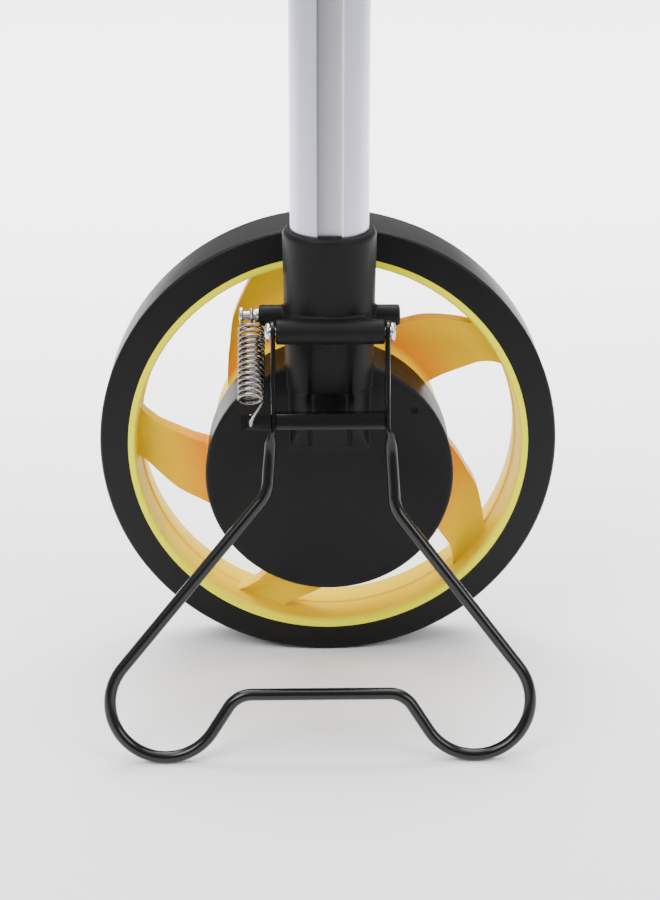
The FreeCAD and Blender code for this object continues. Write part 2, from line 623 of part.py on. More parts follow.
def make_tubes():
    """Three drawn tubes: the outer has a flat-bottomed channel, the inner two have a matching flat."""
    high = "lower_top_z"
    low = "lower_low_z"
    channel = block(("-channel_half", "pole_y - lower_floor - 6", f"{low} - 1"),
                    ("channel_half * 2", "6", f"{high} - {low} + 2"))
    skin = cut(pole_rod("lower_r", low, high), channel)
    rib = block(("-channel_half - tube_wall", "pole_y - lower_floor + tube_wall - 6", f"{low} - 2"),
                ("channel_half * 2 + tube_wall * 2", "6", f"{high} - {low} + 4"))
    bore = cut(pole_rod("lower_r - tube_wall", f"{low} - 1", f"{high} + 1"), rib)
    screw = rod(("0", "pole_y + 4", "socket_top_z - 12"), "y", "screw_r", "12")
    node(cut(skin, bore, screw), "lower_tube")
    node(inner_tube("mid"), "mid_tube")
    node(cut(inner_tube("upper"), *handle_pins()), "upper_tube")


def inner_tube(which):
    """One of the two inner tubes, with its flat."""
    outer, flat, low, high = f"{which}_r", f"{which}_flat", f"{which}_low_z", f"{which}_top_z"
    hole = flatted(f"{outer} - thin_wall", f"{flat} - thin_wall", f"{low} - 1", f"{high} + 1")
    return cut(flatted(outer, flat, low, high), hole)


def make_bushes():
    """Plastic guide plugs in the lower ends of the two sliding tubes."""
    for which, around, stop in (("mid", "lower_r - tube_wall", "lower_floor - tube_wall"),
                                ("upper", "mid_r - thin_wall", "mid_flat - thin_wall")):
        low = f"{which}_low_z"
        shoe = flatted(f"{around} - slide_gap", f"{stop} - slide_gap", f"{low} - bush_long", low)
        spigot = flatted(f"{which}_r - thin_wall - 0.02", f"{which}_flat - thin_wall - 0.02", f"{low} - 1",
                         f"{low} + 8")
        hole = pole_rod("6", f"{low} - bush_long - 1", f"{low} + 9")
        node(cut(fuse(shoe, spigot), hole), f"{which}_bush")


def make_clamp(which, around, inner_r, inner_flat):
    """A clamp collar round a tube's end, with its lever and the lever's pin."""
    low = f"{which}_collar_z"
    high = f"{low} + collar_long"
    pin_x, pin_z = "collar_r + 0.9", f"{low} + 7"
    ring = rounded(pole_rod("collar_r", low, high), 1.2, lambda edge: edge.Length > 60)
    ears = [block(("collar_r - 5", y, f"{low} + 3"), ("8.6", "3", "9"))
            for y in ("pole_y - lever_wide / 2 - 3.2", "pole_y + lever_wide / 2 + 0.2")]
    seat = block(("collar_r - 0.6", "pole_y - lever_wide / 2 - 0.2", f"{low} - 1"),
                 ("6", "lever_wide + 0.4", "40"))
    swing = rod((pin_x, "pole_y - lever_wide / 2 - 0.2", pin_z), "y", "lever_thick / 2 + 1.5",
                "lever_wide + 0.4")
    pin_hole = rod((pin_x, "pole_y - lever_wide / 2 - 4", pin_z), "y", "lever_pin_r", "lever_wide + 8")
    inner = flatted(f"{inner_r} + slide_gap", f"{inner_flat} + slide_gap", f"{low} + collar_long / 2",
                    f"{high} + 1")
    slit = block(("-1", "pole_y + 6", f"{low} + collar_long / 2"), ("2", "20", "40"))
    collar = fuse(cut(ring, seat, swing), *ears)
    node(cut(collar, around, inner, slit, pin_hole), f"{which}_collar")
    pin = rod((pin_x, "pole_y - lever_wide / 2 - 3.2", pin_z), "y", "lever_pin_r", "lever_wide + 6.4")
    node(pin, f"{which}_lever_pin")
    hub = rod((pin_x, "pole_y - lever_wide / 2", pin_z), "y", "lever_thick / 2 + 1.2", "lever_wide")
    blade = block(("collar_r + 0.6", "pole_y - lever_wide / 2", pin_z),
                  ("lever_thick", "lever_wide", "lever_long - 4"))
    blade = rounded(blade, 1.2, lambda edge: edge.BoundBox.ZMin > size(f"{low} + lever_long + 2"))
    loose = rod((pin_x, "pole_y - lever_wide / 2 - 4", pin_z), "y", "lever_pin_r + running_gap",
                "lever_wide + 8")
    node(cut(fuse(hub, blade), loose), f"{which}_lever")


def make_clamps():
    """The two clamps that hold the pole's sections."""
    lower_end = pole_rod("lower_r", "lower_collar_z - 1", "lower_top_z")
    make_clamp("lower", lower_end, "mid_r", "mid_flat")
    middle_end = flatted("mid_r", "mid_flat", "upper_collar_z - 1", "mid_top_z")
    make_clamp("upper", middle_end, "upper_r", "upper_flat")


# ---- the handle ---------------------------------------------------------------------------------

def on_face(item):
    """Set a piece drawn flat on the display face: X down the face, Z out of it."""
    item = group(item)
    item.Placement.Rotation = Rotation(Vector(0, 1, 0), size("face_turn"))
    for letter, formula in zip("xyz", ("face_x", "pole_y", "face_z")):
        bind(item, f"Placement.Base.{letter}", formula)
    return item


def on_grip(item):
    """Set a piece drawn along X in the grip: X away from the head, Z to the underside."""
    item = group(item)
    item.Placement.Rotation = Rotation(Vector(0, 1, 0), size("grip_turn"))
    for letter, formula in zip("xyz", ("grip_x", "pole_y", "grip_z")):
        bind(item, f"Placement.Base.{letter}", formula)
    return item


def bar(start, end, half_y, half_z, radius):
    """A straight bar along X with rounded long edges."""
    solid = block((start, f"-({half_y})", f"-({half_z})"),
                  (f"{end} - ({start})", f"2 * ({half_y})", f"2 * ({half_z})"))
    return rounded(solid, radius, lambda edge: edge.BoundBox.XLength > size(end) - size(start) - 0.1)


def head_block(name, points, half, radius):
    """The head: a side outline padded both ways, its sharp side edges rounded."""
    body = padded(name, "XZ_Plane", points, f"2 * ({half})", midplane=True)
    bind(body, "Placement.Base.y", "pole_y")
    doc.recompute()
    return rounded(body, radius, lambda edge: edge.BoundBox.YLength < 0.1)


def grip_rod(radius, start, end):
    """A round bar on the grip's own axis."""
    return rod((start, "0", "0"), "x", radius, f"{end} - ({start})")


def make_shells():
    """Two handle halves that meet on the pole's middle plane."""
    outer_points = [("-17.5", "handle_low_z"), ("17.5", "handle_low_z"), ("19.5", "handle_low_z + 24"),
                    ("28", "handle_low_z + 44.6"), ("-24", "handle_low_z + 76.6"),
                    ("-33", "handle_low_z + 56"), ("-17.5", "handle_low_z + 30")]
    inner_points = [("-14.5", "handle_low_z + 20"), ("14.5", "handle_low_z + 20"),
                    ("17", "handle_low_z + 25"), ("24.6", "handle_low_z + 43.6"),
                    ("-22.8", "handle_low_z + 72.8"), ("-30", "handle_low_z + 56"),
                    ("-14.5", "handle_low_z + 31")]
    outer = head_block("Head", outer_points, "head_half", 3.0)
    inner = head_block("HeadRoom", inner_points, "head_half - shell_wall", 1.5)
    grip = on_grip(bar("0", "grip_long", "grip_half", "grip_high", size("grip_round")))
    room = on_grip(bar("10", "grip_long + 1", "grip_half - shell_wall", "grip_high - shell_wall", 7.0))
    window = on_face(block(("-27", "-18", "-lens_thick"), ("36", "36", "6")))
    opening = on_face(block(("-24", "-15", "-10"), ("30", "30", "20")))
    keys = [on_face(key_rod(n, "button_r + 0.35", "-12", "24")) for n in range(3)]
    tube = flatted("upper_r", "upper_flat", "handle_low_z - 1", "upper_top_z")
    pins = handle_pins()
    posts = [cross_post(x, z, "handle_screw_r + 1.7") for x, z in screw_places()]
    holes = [rod((x, "pole_y - 8", z), "y", "handle_screw_r", "40") for x, z in screw_places()]
    wells = [rod((x, "pole_y + head_half - 2.6", z), "y", "2.5", "20") for x, z in screw_places()]
    shell = cut(fuse(outer, grip), inner, room)
    shell = cut(fuse(shell, *posts), window, opening, *keys, tube, *pins, *holes, *wells)
    for label, low in (("handle_left_shell", "pole_y - 60"), ("handle_right_shell", "pole_y")):
        half = block(("-200", low, "handle_low_z - 10"), ("300", "60", "300"))
        node(common(shell, half), label)
    node(group(*handle_pins()), "handle_pins")
    screws = []
    for x, z in screw_places():
        shank = rod((x, "pole_y - 8", z), "y", "handle_screw_r", "head_half + 5.4")
        head = rod((x, "pole_y + head_half - 2.6", z), "y", "2.3", "1.8")
        screws.append(fuse(shank, head))
    node(group(*screws), "handle_screws")


def handle_pins():
    """Two short pins, one from each side, that hold the shells on the upper tube."""
    return [rod(("0", f"pole_y {side} 7.5", "handle_low_z + 9"), axis, "handle_pin_r", "11.5")
            for side, axis in (("-", "-y"), ("+", "y"))]


def screw_places():
    """Where the shell screws cross the handle: x and z."""
    return [("13.6", "handle_low_z + 5.5"), ("-13.6", "handle_low_z + 5.5"), ("-25.5", "handle_low_z + 54.5")]


def cross_post(x, z, radius):
    """A post that carries one shell screw from wall to wall."""
    return rod((x, "pole_y - head_half + 1", z), "y", radius, "2 * head_half - 2")


def key_rod(n, radius, low, long):
    """A round bar through key n of the row across the face."""
    return rod(("key_row", f"key_step * {n - 1}", low), "z", radius, long)


def make_display():
    """Window, liquid-crystal panel, board with key switches, and three keys."""
    lens = rounded(block(("-26.9", "-17.9", "-lens_thick"), ("35.8", "35.8", "lens_thick")), 2.0,
                   lambda edge: edge.BoundBox.ZLength > 1.0)
    node(on_face(lens), "display_window")
    node(on_face(block(("-23", "-14", "-lens_thick - 3"), ("28", "28", "2.6"))), "display_panel")
    node(on_face(block(("-21", "-17", "-9"), ("44", "34", "1.6"))), "main_board")
    switches = [on_face(key_rod(n, "2.5", "-7.4", "1.6")) for n in range(3)]
    node(group(*switches), "key_switches")
    for n, label in enumerate(("power_key", "reset_key", "unit_key")):
        stem = key_rod(n, "button_r - 2", "-4.7", "5")
        rim = key_rod(n, "button_r + 1", "-4.6", "1.0")
        cap = rounded(key_rod(n, "button_r", "-3.8", "5.0"), 0.8, lambda edge: edge.BoundBox.ZMin > 1.0)
        node(on_face(fuse(stem, rim, cap)), label)


def make_grip():
    """Rubber sleeve, cells, their carrier and contacts, and the end cap with the strap hole."""
    ease = size("grip_round")
    sleeve = cut(bar("32", "grip_long - 3", "grip_half + sleeve_thick", "grip_high + sleeve_thick",
                     ease + 1.5),
                 bar("30", "grip_long + 5", "grip_half", "grip_high", ease))
    node(on_grip(sleeve), "grip_sleeve")
    cells = []
    for n in range(2):
        start = f"cell_start + {n} * (cell_long + 0.2)"
        can = grip_rod("cell_r", start, f"{start} + cell_long - 1.2")
        tip = grip_rod("1.9", f"{start} + cell_long - 1.4", f"{start} + cell_long")
        cells.append(on_grip(fuse(can, tip)))
    node(group(*cells), "battery_cells")
    carrier = cut(grip_rod("cell_r + 1.6", "cell_start - 2", "cell_start + 86"),
                  grip_rod("cell_r + 0.1", "cell_start - 0.6", "200"),
                  block(("cell_start + 6", "-20", "cell_r - 3"), ("70", "40", "20")))
    node(on_grip(carrier), "cell_carrier")
    front = grip_rod("cell_r - 1", "cell_start - 0.6", "cell_start - 0.1")
    back = cone(("cell_start + 89.1", "0", "0"), "x", "2.0", "4.0", "2.6")
    node(on_grip(front), "front_contact")
    node(on_grip(back), "spring_contact")
    plate = bar("grip_long + 0.3", "grip_long + 5", "grip_half", "grip_high", ease)
    plug = bar("grip_long - 8", "grip_long + 1", "grip_half - shell_wall - 0.3",
               "grip_high - shell_wall - 0.3", ease - 2.5)
    hollow = grip_rod("cell_r + 2", "grip_long - 9", "cell_start + 91.7")
    lug = fuse(block(("grip_long + 4", "-4", "-7"), ("6", "8", "14")),
               rod(("grip_long + 10", "-4", "0"), "y", "7", "8"))
    hole = rod(("grip_long + 10", "-9", "0"), "y", "strap_r", "18")
    node(on_grip(cut(fuse(plate, plug, lug), hollow, hole)), "end_cap")


def main():
    fill_sheet()
    make_tyre()
    make_wheel_rim()
    make_hub_magnets()
    make_bearings()
    make_axle_set()
    make_bracket()
    make_case_cover()
    make_sensor_parts()
    make_small_screws()
    make_stand_wire()
    make_stand_bar()
    make_stand_spring()
    make_tubes()
    make_bushes()
    make_clamps()
    make_shells()
    make_display()
    make_grip()
    doc.recompute()
    write_parts()


def write_parts():
    """Check every object, then write one file for each sub-part."""
    for item in doc.Objects:
        if "Invalid" in item.State or "Error" in item.State:
            raise RuntimeError(f"{item.Label} failed: {item.State}")
    os.makedirs("parts", exist_ok=True)
    for item in NODES:
        shape = item.Shape
        if shape.isNull() or not shape.isValid() or not shape.Solids:
            raise RuntimeError(f"{item.Label} has no sound shape")
        shape.exportStep(f"parts/{item.Label}.step")
        print(item.Label, len(shape.Solids), round(shape.Volume), [round(v, 1) for v in (
            shape.BoundBox.XMin, shape.BoundBox.XMax, shape.BoundBox.YMin, shape.BoundBox.YMax,
            shape.BoundBox.ZMin, shape.BoundBox.ZMax)])


main()
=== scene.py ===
"""Looks of the measuring wheel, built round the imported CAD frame.

The frame has its origin at the tyre's ground contact, +Z up, the axle along Y. Shapes are worked out in
millimetres and made in metres. Angles are in degrees unless a line says otherwise.
"""
import math

import bmesh
import bpy
import numpy as np
from mathutils import Matrix, Vector


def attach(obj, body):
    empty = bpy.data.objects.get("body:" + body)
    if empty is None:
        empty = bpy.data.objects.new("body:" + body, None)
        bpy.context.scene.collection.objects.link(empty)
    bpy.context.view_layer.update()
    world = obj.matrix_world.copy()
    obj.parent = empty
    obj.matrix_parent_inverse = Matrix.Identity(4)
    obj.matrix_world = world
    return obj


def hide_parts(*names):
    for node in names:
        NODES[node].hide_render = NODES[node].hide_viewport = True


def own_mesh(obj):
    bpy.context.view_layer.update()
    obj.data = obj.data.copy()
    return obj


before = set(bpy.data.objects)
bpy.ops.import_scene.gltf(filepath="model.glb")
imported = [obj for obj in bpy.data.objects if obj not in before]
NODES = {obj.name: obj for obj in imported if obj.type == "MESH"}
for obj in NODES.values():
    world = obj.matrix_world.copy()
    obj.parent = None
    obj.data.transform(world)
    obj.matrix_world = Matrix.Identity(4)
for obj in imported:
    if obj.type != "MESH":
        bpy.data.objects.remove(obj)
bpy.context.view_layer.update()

MM = 0.001

# wheel
WHEEL_R = 79.6
AXLE_Z = WHEEL_R
TREAD_HALF = 11.4
RIM_R = 69.7
RIM_HALF = 13.2
WHEEL_STEPS = 288
DRUM_R = 40.5
PADS = 4
PAD_CIRCLE_R = 26.0

# spokes: the two edges of a blade are (radius, angle) spots
SPOKES = 5
SPOKE_FIRST = 25.9
SPOKE_START_R = 38.5
SPOKE_END_R = 68.3
SPOKE_LEAD = [(38.5, 9.6), (41, 8.8), (47, 7.3), (54, 5.0), (60, 3.3), (64.5, 0.9), (68.3, -2.4)]
SPOKE_TRAIL = [(38.5, 55.0), (41.7, 48.0), (45.9, 40.8), (50, 34.5), (55.8, 28.0), (61, 20.8),
               (65.4, 15.3), (68.3, 13.6)]
SPOKE_FRONT_Y = -11.0
SPOKE_TILT = 6.0
SPOKE_DISH = 3.4
SPOKE_THICK = 8.5
SPOKE_THINNING = 2.5

# bracket; POLE_Y is the pole's axis
POLE_Y = -34.0
CASE_FRONT_Y = -38.9
CASE_BACK_Y = -15.2
CASE_R = 41.7
SOCKET_LOW = 112.7
SOCKET_TOP = 164.6
SOCKET_BORE_R = 12.76
COLUMN_R = 14.0
COLUMN_BACK_Y = -30.0
GROOVES = ((-7.1, -5.7), (5.9, 7.3))
COLUMN_GROOVE_Y = -45.2
SOCKET_GROOVE_Y = -45.9
GROOVE_TOP = 130.6
OUTSIDE_Y = -60.0
ON_AXIS = 0.05

# screws: where the stand's screw heads sit, and the end of the cross boss
SCREW_FACE_X = 19.45
BOSS_END_X = 23.0

# stand: distances down its plane are from the pivot; a leg is (foot's middle across, knee's drop)
PIVOT = Vector((0.0, -50.0, 134.8))
LEAN = math.radians(16.0)
WIRE_R = 2.0
ARM_X = 18.3
ARM_HALF = 3.5
ARM_THICK_HALF = 0.8
ARM_SQUARE = 5.0
ROUND_WIRE = 2.0
KNEE_X = 20.7
KNEE_BEND_R = 12.0
FOOT_LOOP_R = 18.0
FOOT_RISE = 33.0
CROSS_DROP = 117.6
CROSS_BEND_R = 9.0
RIGHT_LEG = (46.7, 57.0)
LEFT_LEG = (54.1, 51.8)
BAR_DROP = 26.0
BAR_HALF = 17.6
HOLE_DROP = 28.5

# spring, from its screw to the tab's hole
SPRING_X = -25.4
ANCHOR_Z = 135.3
SPRING_WIRE_R = 0.575
COIL_R = 3.875
COIL_LONG = 26.5
COIL_TURNS = 13.5
COIL_STEPS = 28
LOOP_R = 2.15
LOOP_LOW = 3.6

# pole
TUBE_R = 12.7
TUBE_WALL = 1.1
TUBE_LOW = 114.0
TUBE_TOP = 368.0
CHANNEL_HALF = 3.85

# grip: its axis rises backwards at 3 up for 4 back
GRIP_START = Vector((-9.0, POLE_Y, 464.0))
GRIP_ALONG = Vector((-0.8, 0.0, 0.6))
GRIP_UNDER = Vector((-0.6, 0.0, -0.8))
GRIP_CORNER = 10.5
SLEEVE_HALF_WIDE = 16.8
SLEEVE_HALF_DEEP = 16.3


# ---- mesh helpers -------------------------------------------------------------------------------

def mesh_object(name, verts, faces):
    """A smooth-shaded mesh from points in millimetres."""
    mesh = bpy.data.meshes.new(name)
    mesh.from_pydata([tuple(c * MM for c in v) for v in verts], [], faces)
    mesh.validate()
    obj = bpy.data.objects.new(name, mesh)
    bpy.context.scene.collection.objects.link(obj)
    tidy_normals(obj)
    shade(obj)
    return obj


def tidy_normals(obj):
    """Merge doubled points and face all normals outwards."""
    work = bmesh.new()
    work.from_mesh(obj.data)
    bmesh.ops.remove_doubles(work, verts=work.verts, dist=1e-7)
    bmesh.ops.recalc_face_normals(work, faces=work.faces)
    work.to_mesh(obj.data)
    work.free()


def shade(obj, degrees=35):
    """Smooth shading, with the edges that turn by more than the angle kept sharp."""
    obj.data.shade_smooth()
    obj.data.set_sharp_from_angle(angle=math.radians(degrees))


def skin(rings, closed_path=False):
    """Points and faces between rings of equal count; an open row of rings is closed by two caps."""
    count, size = len(rings), len(rings[0])
    verts = [tuple(p) for ring in rings for p in ring]
    faces = []
    for i in range(count if closed_path else count - 1):
        j = (i + 1) % count
        for k in range(size):
            n = (k + 1) % size
            faces.append((i * size + k, i * size + n, j * size + n, j * size + k))
    if not closed_path:
        faces.append(tuple(range(size)))
        faces.append(tuple((count - 1) * size + k for k in range(size)))
    return verts, faces


def rounded(points, radii, steps=6):
    """A closed outline with each corner eased by an arc; radii holds one radius or one for each corner."""
    result = []
    count = len(points)
    for i, (x, y) in enumerate(points):
        radius = radii[i] if isinstance(radii, list) else radii
        if radius <= 0:
            result.append((x, y))
            continue
        corner = Vector((x, y))
        before = Vector(points[i - 1]) - corner
        after = Vector(points[(i + 1) % count]) - corner
        half = before.angle(after) / 2
        longest_leg = 0.49 * min(before.length, after.length)
        leg = min(radius / math.tan(half), longest_leg)
        radius = leg * math.tan(half)
        middle = (before.normalized() + after.normalized()).normalized()
        centre = corner + middle * (radius / math.sin(half))
        start = corner + before.normalized() * leg - centre
        turn = start.angle_signed(corner + after.normalized() * leg - centre)
        for n in range(steps + 1):
            result.append(tuple(centre + Matrix.Rotation(-turn * n / steps, 2) @ start))
    return result


def turned(centre, axis, radius, turn, along):
    """A point some way round (turn, from 0 to 1) and along an axis that passes through the centre."""
    angle = 2 * math.pi * turn
    c, s = radius * math.cos(angle), radius * math.sin(angle)
    offset = {"X": (along, c, s), "Y": (c, along, s), "Z": (c, s, along)}[axis]
    return tuple(middle + part for middle, part in zip(centre, offset))


def lathe(name, outline, centre, steps, axis="Y"):
    """A closed outline of (radius, along) pairs spun round an axis through the centre."""
    rings = [[turned(centre, axis, r, i / steps, a) for r, a in outline] for i in range(steps)]
    return mesh_object(name, *skin(rings, closed_path=True))


def disc_stack(name, profile, centre, steps, axis="Y"):
    """A solid turned piece: (radius, along) pairs from one end to the other, closed by caps."""
    rings = [[turned(centre, axis, r, i / steps, a) for i in range(steps)] for r, a in profile]
    return mesh_object(name, *skin(rings))


def prism(name, outline, low, high):
    """An upright solid of an (x, y) outline between two heights."""
    rings = [[(x, y, z) for x, y in outline] for z in (low, high)]
    return mesh_object(name, *skin(rings))


def slab(name, low, high):
    """A box between two corners."""
    outline = [(low[0], low[1]), (high[0], low[1]), (high[0], high[1]), (low[0], high[1])]
    return prism(name, outline, low[2], high[2])


def ease(obj, width, degrees=40):
    """Round the edges that turn by more than the angle, for good."""
    bevel = obj.modifiers.new("ease", "BEVEL")
    bevel.width = width * MM
    bevel.segments = 2
    bevel.limit_method = "ANGLE"
    bevel.angle_limit = math.radians(degrees)
    bevel.use_clamp_overlap = True
    bake(obj)
    shade(obj)


def bake(obj):
    """Apply a piece's modifiers to its mesh."""
    graph = bpy.context.evaluated_depsgraph_get()
    mesh = bpy.data.meshes.new_from_object(obj.evaluated_get(graph))
    obj.modifiers.clear()
    obj.data = mesh


def combine(base, tools, operation):
    """Union or difference of a piece with others, which are used up."""
    for tool in tools:
        cut = base.modifiers.new("combine", "BOOLEAN")
        cut.operation = operation
        cut.solver = "EXACT"
        cut.object = tool
        bake(base)
        bpy.data.objects.remove(tool)
    return base


def melt(obj, voxel, smooth):
    """Fuse a piece's overlapping shapes into one skin with small soft fillets."""
    fuse = obj.modifiers.new("melt", "REMESH")
    fuse.mode = "VOXEL"
    fuse.voxel_size = voxel * MM
    fuse.adaptivity = 0.0
    soft = obj.modifiers.new("soften", "SMOOTH")
    soft.factor = 0.5
    soft.iterations = smooth
    bake(obj)
    obj.data.shade_smooth()


def sweep(name, points, sections, normal, steps):
    """A bar along a path in a plane, by sections.

    A section is the two half sizes (along the plane's normal, in the plane) and the squareness: 2 is round.
    """
    rings = []
    last = len(points) - 1
    for i, p in enumerate(points):
        ahead = points[min(i + 1, last)] - points[max(i - 1, 0)]
        side = normal.cross(ahead).normalized()
        (deep, wide), square = sections[i]
        power = 2.0 / square
        ring = []
        for k in range(steps):
            angle = 2 * math.pi * k / steps
            c, s = math.cos(angle), math.sin(angle)
            out = deep * math.copysign(abs(c) ** power, c)
            along = wide * math.copysign(abs(s) ** power, s)
            ring.append(p + normal * out + side * along)
        rings.append(ring)
    return mesh_object(name, *skin(rings))


def coil(name, points, radius, steps):
    """A round wire along any path, its frame carried without twist."""
    rings = []
    last = len(points) - 1
    normal = (points[1] - points[0]).normalized().orthogonal().normalized()
    for i, p in enumerate(points):
        ahead = (points[min(i + 1, last)] - points[max(i - 1, 0)]).normalized()
        normal = (normal - ahead * normal.dot(ahead)).normalized()
        side = ahead.cross(normal)
        ring = []
        for k in range(steps):
            angle = 2 * math.pi * k / steps
            ring.append(p + normal * (radius * math.cos(angle)) + side * (radius * math.sin(angle)))
        rings.append(ring)
    return mesh_object(name, *skin(rings))


def finish_piece(obj, material, body, slot, *nodes, degrees=35):
    """Give a built piece its material, shading and body, and hide the CAD nodes that it stands for."""
    obj.data.materials.clear()
    obj.data.materials.append(material)
    shade(obj, degrees)
    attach(obj, body)
    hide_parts(*nodes)


# ---- materials ----------------------------------------------------------------------------------

def new_material(name, colour, roughness, **sockets):
    """A principled material; sockets are set by their own names with _ for spaces."""
    mat = bpy.data.materials.new(name)
    mat.use_nodes = True
    shader = mat.node_tree.nodes["Principled BSDF"]
    shader.inputs["Base Color"].default_value = (*colour, 1.0)
    shader.inputs["Roughness"].default_value = roughness
    for key, value in sockets.items():
        shader.inputs[key.replace("_", " ")].default_value = value
    return mat


def add_noise(mat, scale, detail, stretch=(1, 1, 1)):
    """A noise texture in the piece's own coordinates."""
    tree = mat.node_tree
    where = tree.nodes.new("ShaderNodeTexCoord")
    mapping = tree.nodes.new("ShaderNodeMapping")
    mapping.inputs["Scale"].default_value = stretch
    noise = tree.nodes.new("ShaderNodeTexNoise")
    noise.inputs["Scale"].default_value = scale
    noise.inputs["Detail"].default_value = detail
    tree.links.new(where.outputs["Object"], mapping.inputs["Vector"])
    tree.links.new(mapping.outputs["Vector"], noise.inputs["Vector"])
    return noise


def add_bump(mat, noise, strength, distance):
    """Fine relief from a noise."""
    tree = mat.node_tree
    bump = tree.nodes.new("ShaderNodeBump")
    bump.inputs["Strength"].default_value = strength
    bump.inputs["Distance"].default_value = distance * MM
    tree.links.new(noise.outputs["Fac"], bump.inputs["Height"])
    tree.links.new(bump.outputs["Normal"], tree.nodes["Principled BSDF"].inputs["Normal"])


def add_range(mat, noise, socket, low, high):
    """Vary a number socket between two values with a noise, over the range that the noise mostly fills."""
    noise_low, noise_high = 0.3, 0.7
    tree = mat.node_tree
    spread = tree.nodes.new("ShaderNodeMapRange")
    spread.inputs["From Min"].default_value = noise_low
    spread.inputs["From Max"].default_value = noise_high
    spread.inputs["To Min"].default_value = low
    spread.inputs["To Max"].default_value = high
    tree.links.new(noise.outputs["Fac"], spread.inputs["Value"])
    tree.links.new(spread.outputs["Result"], tree.nodes["Principled BSDF"].inputs[socket])


def add_tint(mat, noise, first, second):
    """Vary the colour between two tints with a noise."""
    tree = mat.node_tree
    ramp = tree.nodes.new("ShaderNodeValToRGB")
    ramp.color_ramp.elements[0].position = 0.35
    ramp.color_ramp.elements[0].color = (*first, 1.0)
    ramp.color_ramp.elements[1].position = 0.65
    ramp.color_ramp.elements[1].color = (*second, 1.0)
    tree.links.new(noise.outputs["Fac"], ramp.inputs["Fac"])
    tree.links.new(ramp.outputs["Color"], tree.nodes["Principled BSDF"].inputs["Base Color"])


def place_along(mat, axis):
    """The place along one axis of the piece's own coordinates, as an output in metres."""
    tree = mat.node_tree
    where = tree.nodes.new("ShaderNodeTexCoord")
    split = tree.nodes.new("ShaderNodeSeparateXYZ")
    tree.links.new(where.outputs["Object"], split.inputs["Vector"])
    return split.outputs[axis]


def axle_distance(mat):
    """The distance from the axle's axis, as an output in metres."""
    tree = mat.node_tree
    where = tree.nodes.new("ShaderNodeTexCoord")
    shift = tree.nodes.new("ShaderNodeMapping")
    shift.inputs["Location"].default_value = (0.0, 0.0, -AXLE_Z * MM)
    shift.inputs["Scale"].default_value = (1.0, 0.0, 1.0)
    tree.links.new(where.outputs["Object"], shift.inputs["Vector"])
    reach = tree.nodes.new("ShaderNodeVectorMath")
    reach.operation = "LENGTH"
    tree.links.new(shift.outputs["Vector"], reach.inputs[0])
    return reach.outputs["Value"]


def ramp_over(mat, distance, spots):
    """A colour output that ramps over a distance output, by (distance in millimetres, colour) spots."""
    tree = mat.node_tree
    first, last = spots[0][0], spots[-1][0]
    spread = tree.nodes.new("ShaderNodeMapRange")
    spread.inputs["From Min"].default_value = first * MM
    spread.inputs["From Max"].default_value = last * MM
    tree.links.new(distance, spread.inputs["Value"])
    ramp = tree.nodes.new("ShaderNodeValToRGB")
    tree.links.new(spread.outputs["Result"], ramp.inputs["Fac"])
    elements = ramp.color_ramp.elements
    while len(elements) < len(spots):
        elements.new(0.5)
    for element, (place, colour) in zip(elements, spots):
        element.position = (place - first) / (last - first)
        element.color = (*colour, 1.0)
    return ramp.outputs["Color"]


def blend(mat, factor, output, colour, output_last=False):
    """Mix a colour output with one plain colour by a factor output; output_last swaps their order."""
    mix = mat.node_tree.nodes.new("ShaderNodeMix")
    mix.data_type = "RGBA"
    mat.node_tree.links.new(factor, mix.inputs["Factor"])
    mat.node_tree.links.new(output, mix.inputs["B" if output_last else "A"])
    mix.inputs["A" if output_last else "B"].default_value = (*colour, 1.0)
    return mix.outputs["Result"]


def moulded_black():
    """Satin black moulding with a fine spark-eroded grain."""
    mat = new_material("moulded_black", (0.007, 0.007, 0.0073), 0.42, Specular_IOR_Level=0.1)
    grain = add_noise(mat, 900.0, 2.0)
    add_bump(mat, grain, 0.12, 0.05)
    cloud = add_noise(mat, 45.0, 3.0)
    add_range(mat, cloud, "Roughness", 0.36, 0.5)
    add_tint(mat, cloud, (0.0062, 0.0062, 0.0065), (0.0082, 0.0082, 0.0086))
    return mat


def tyre_rubber():
    """Fine matt rubber, slightly dusty."""
    mat = new_material("tyre_rubber", (0.003, 0.003, 0.0032), 0.36, Specular_IOR_Level=0.17)
    grain = add_noise(mat, 1400.0, 3.0)
    add_bump(mat, grain, 0.2, 0.05)
    cloud = add_noise(mat, 30.0, 4.0)
    add_range(mat, cloud, "Roughness", 0.36, 0.46)
    add_tint(mat, cloud, (0.0025, 0.0025, 0.0028), (0.0035, 0.0035, 0.0039))
    return mat


def wheel_yellow():
    """Satin yellow moulding, turned orange next to the drum by painted shade and amber at the rim's inside;
    a greener painted glow of light through thin plastic on its front-most faces, mostly the rim's thin
    front lip.
    """
    mat = new_material("wheel_yellow", (1.0, 0.7, 0.0), 0.4, Specular_IOR_Level=0.03)
    cloud = add_noise(mat, 25.0, 2.0)
    add_range(mat, cloud, "Roughness", 0.36, 0.46)
    # orange is painted shade, the deep tone of the dished blades next to the drum; amber is the rim's
    # inside
    yellow, painted_orange_shade, amber = (0.9, 0.62, 0.0), (0.75, 0.23, 0.0), (0.78, 0.55, 0.0)
    # a greener painted glow, for light through the thin front lip
    painted_lip_glow = (0.88, 0.84, 0.0)
    body = ramp_over(mat, axle_distance(mat), [(30.0, yellow), (40.44, yellow), (42.96, painted_orange_shade),
                                               (61.68, yellow), (66.0, amber)])
    on, off = (1, 1, 1), (0, 0, 0)
    # mask of everything in front of y = -12.6 mm, where the painted glow goes
    lip = ramp_over(mat, place_along(mat, "Y"), [(-13.4, on), (-12.6, on), (-10.5, off)])
    tone = blend(mat, lip, body, painted_lip_glow)
    mat.node_tree.links.new(tone, mat.node_tree.nodes["Principled BSDF"].inputs["Base Color"])
    return mat


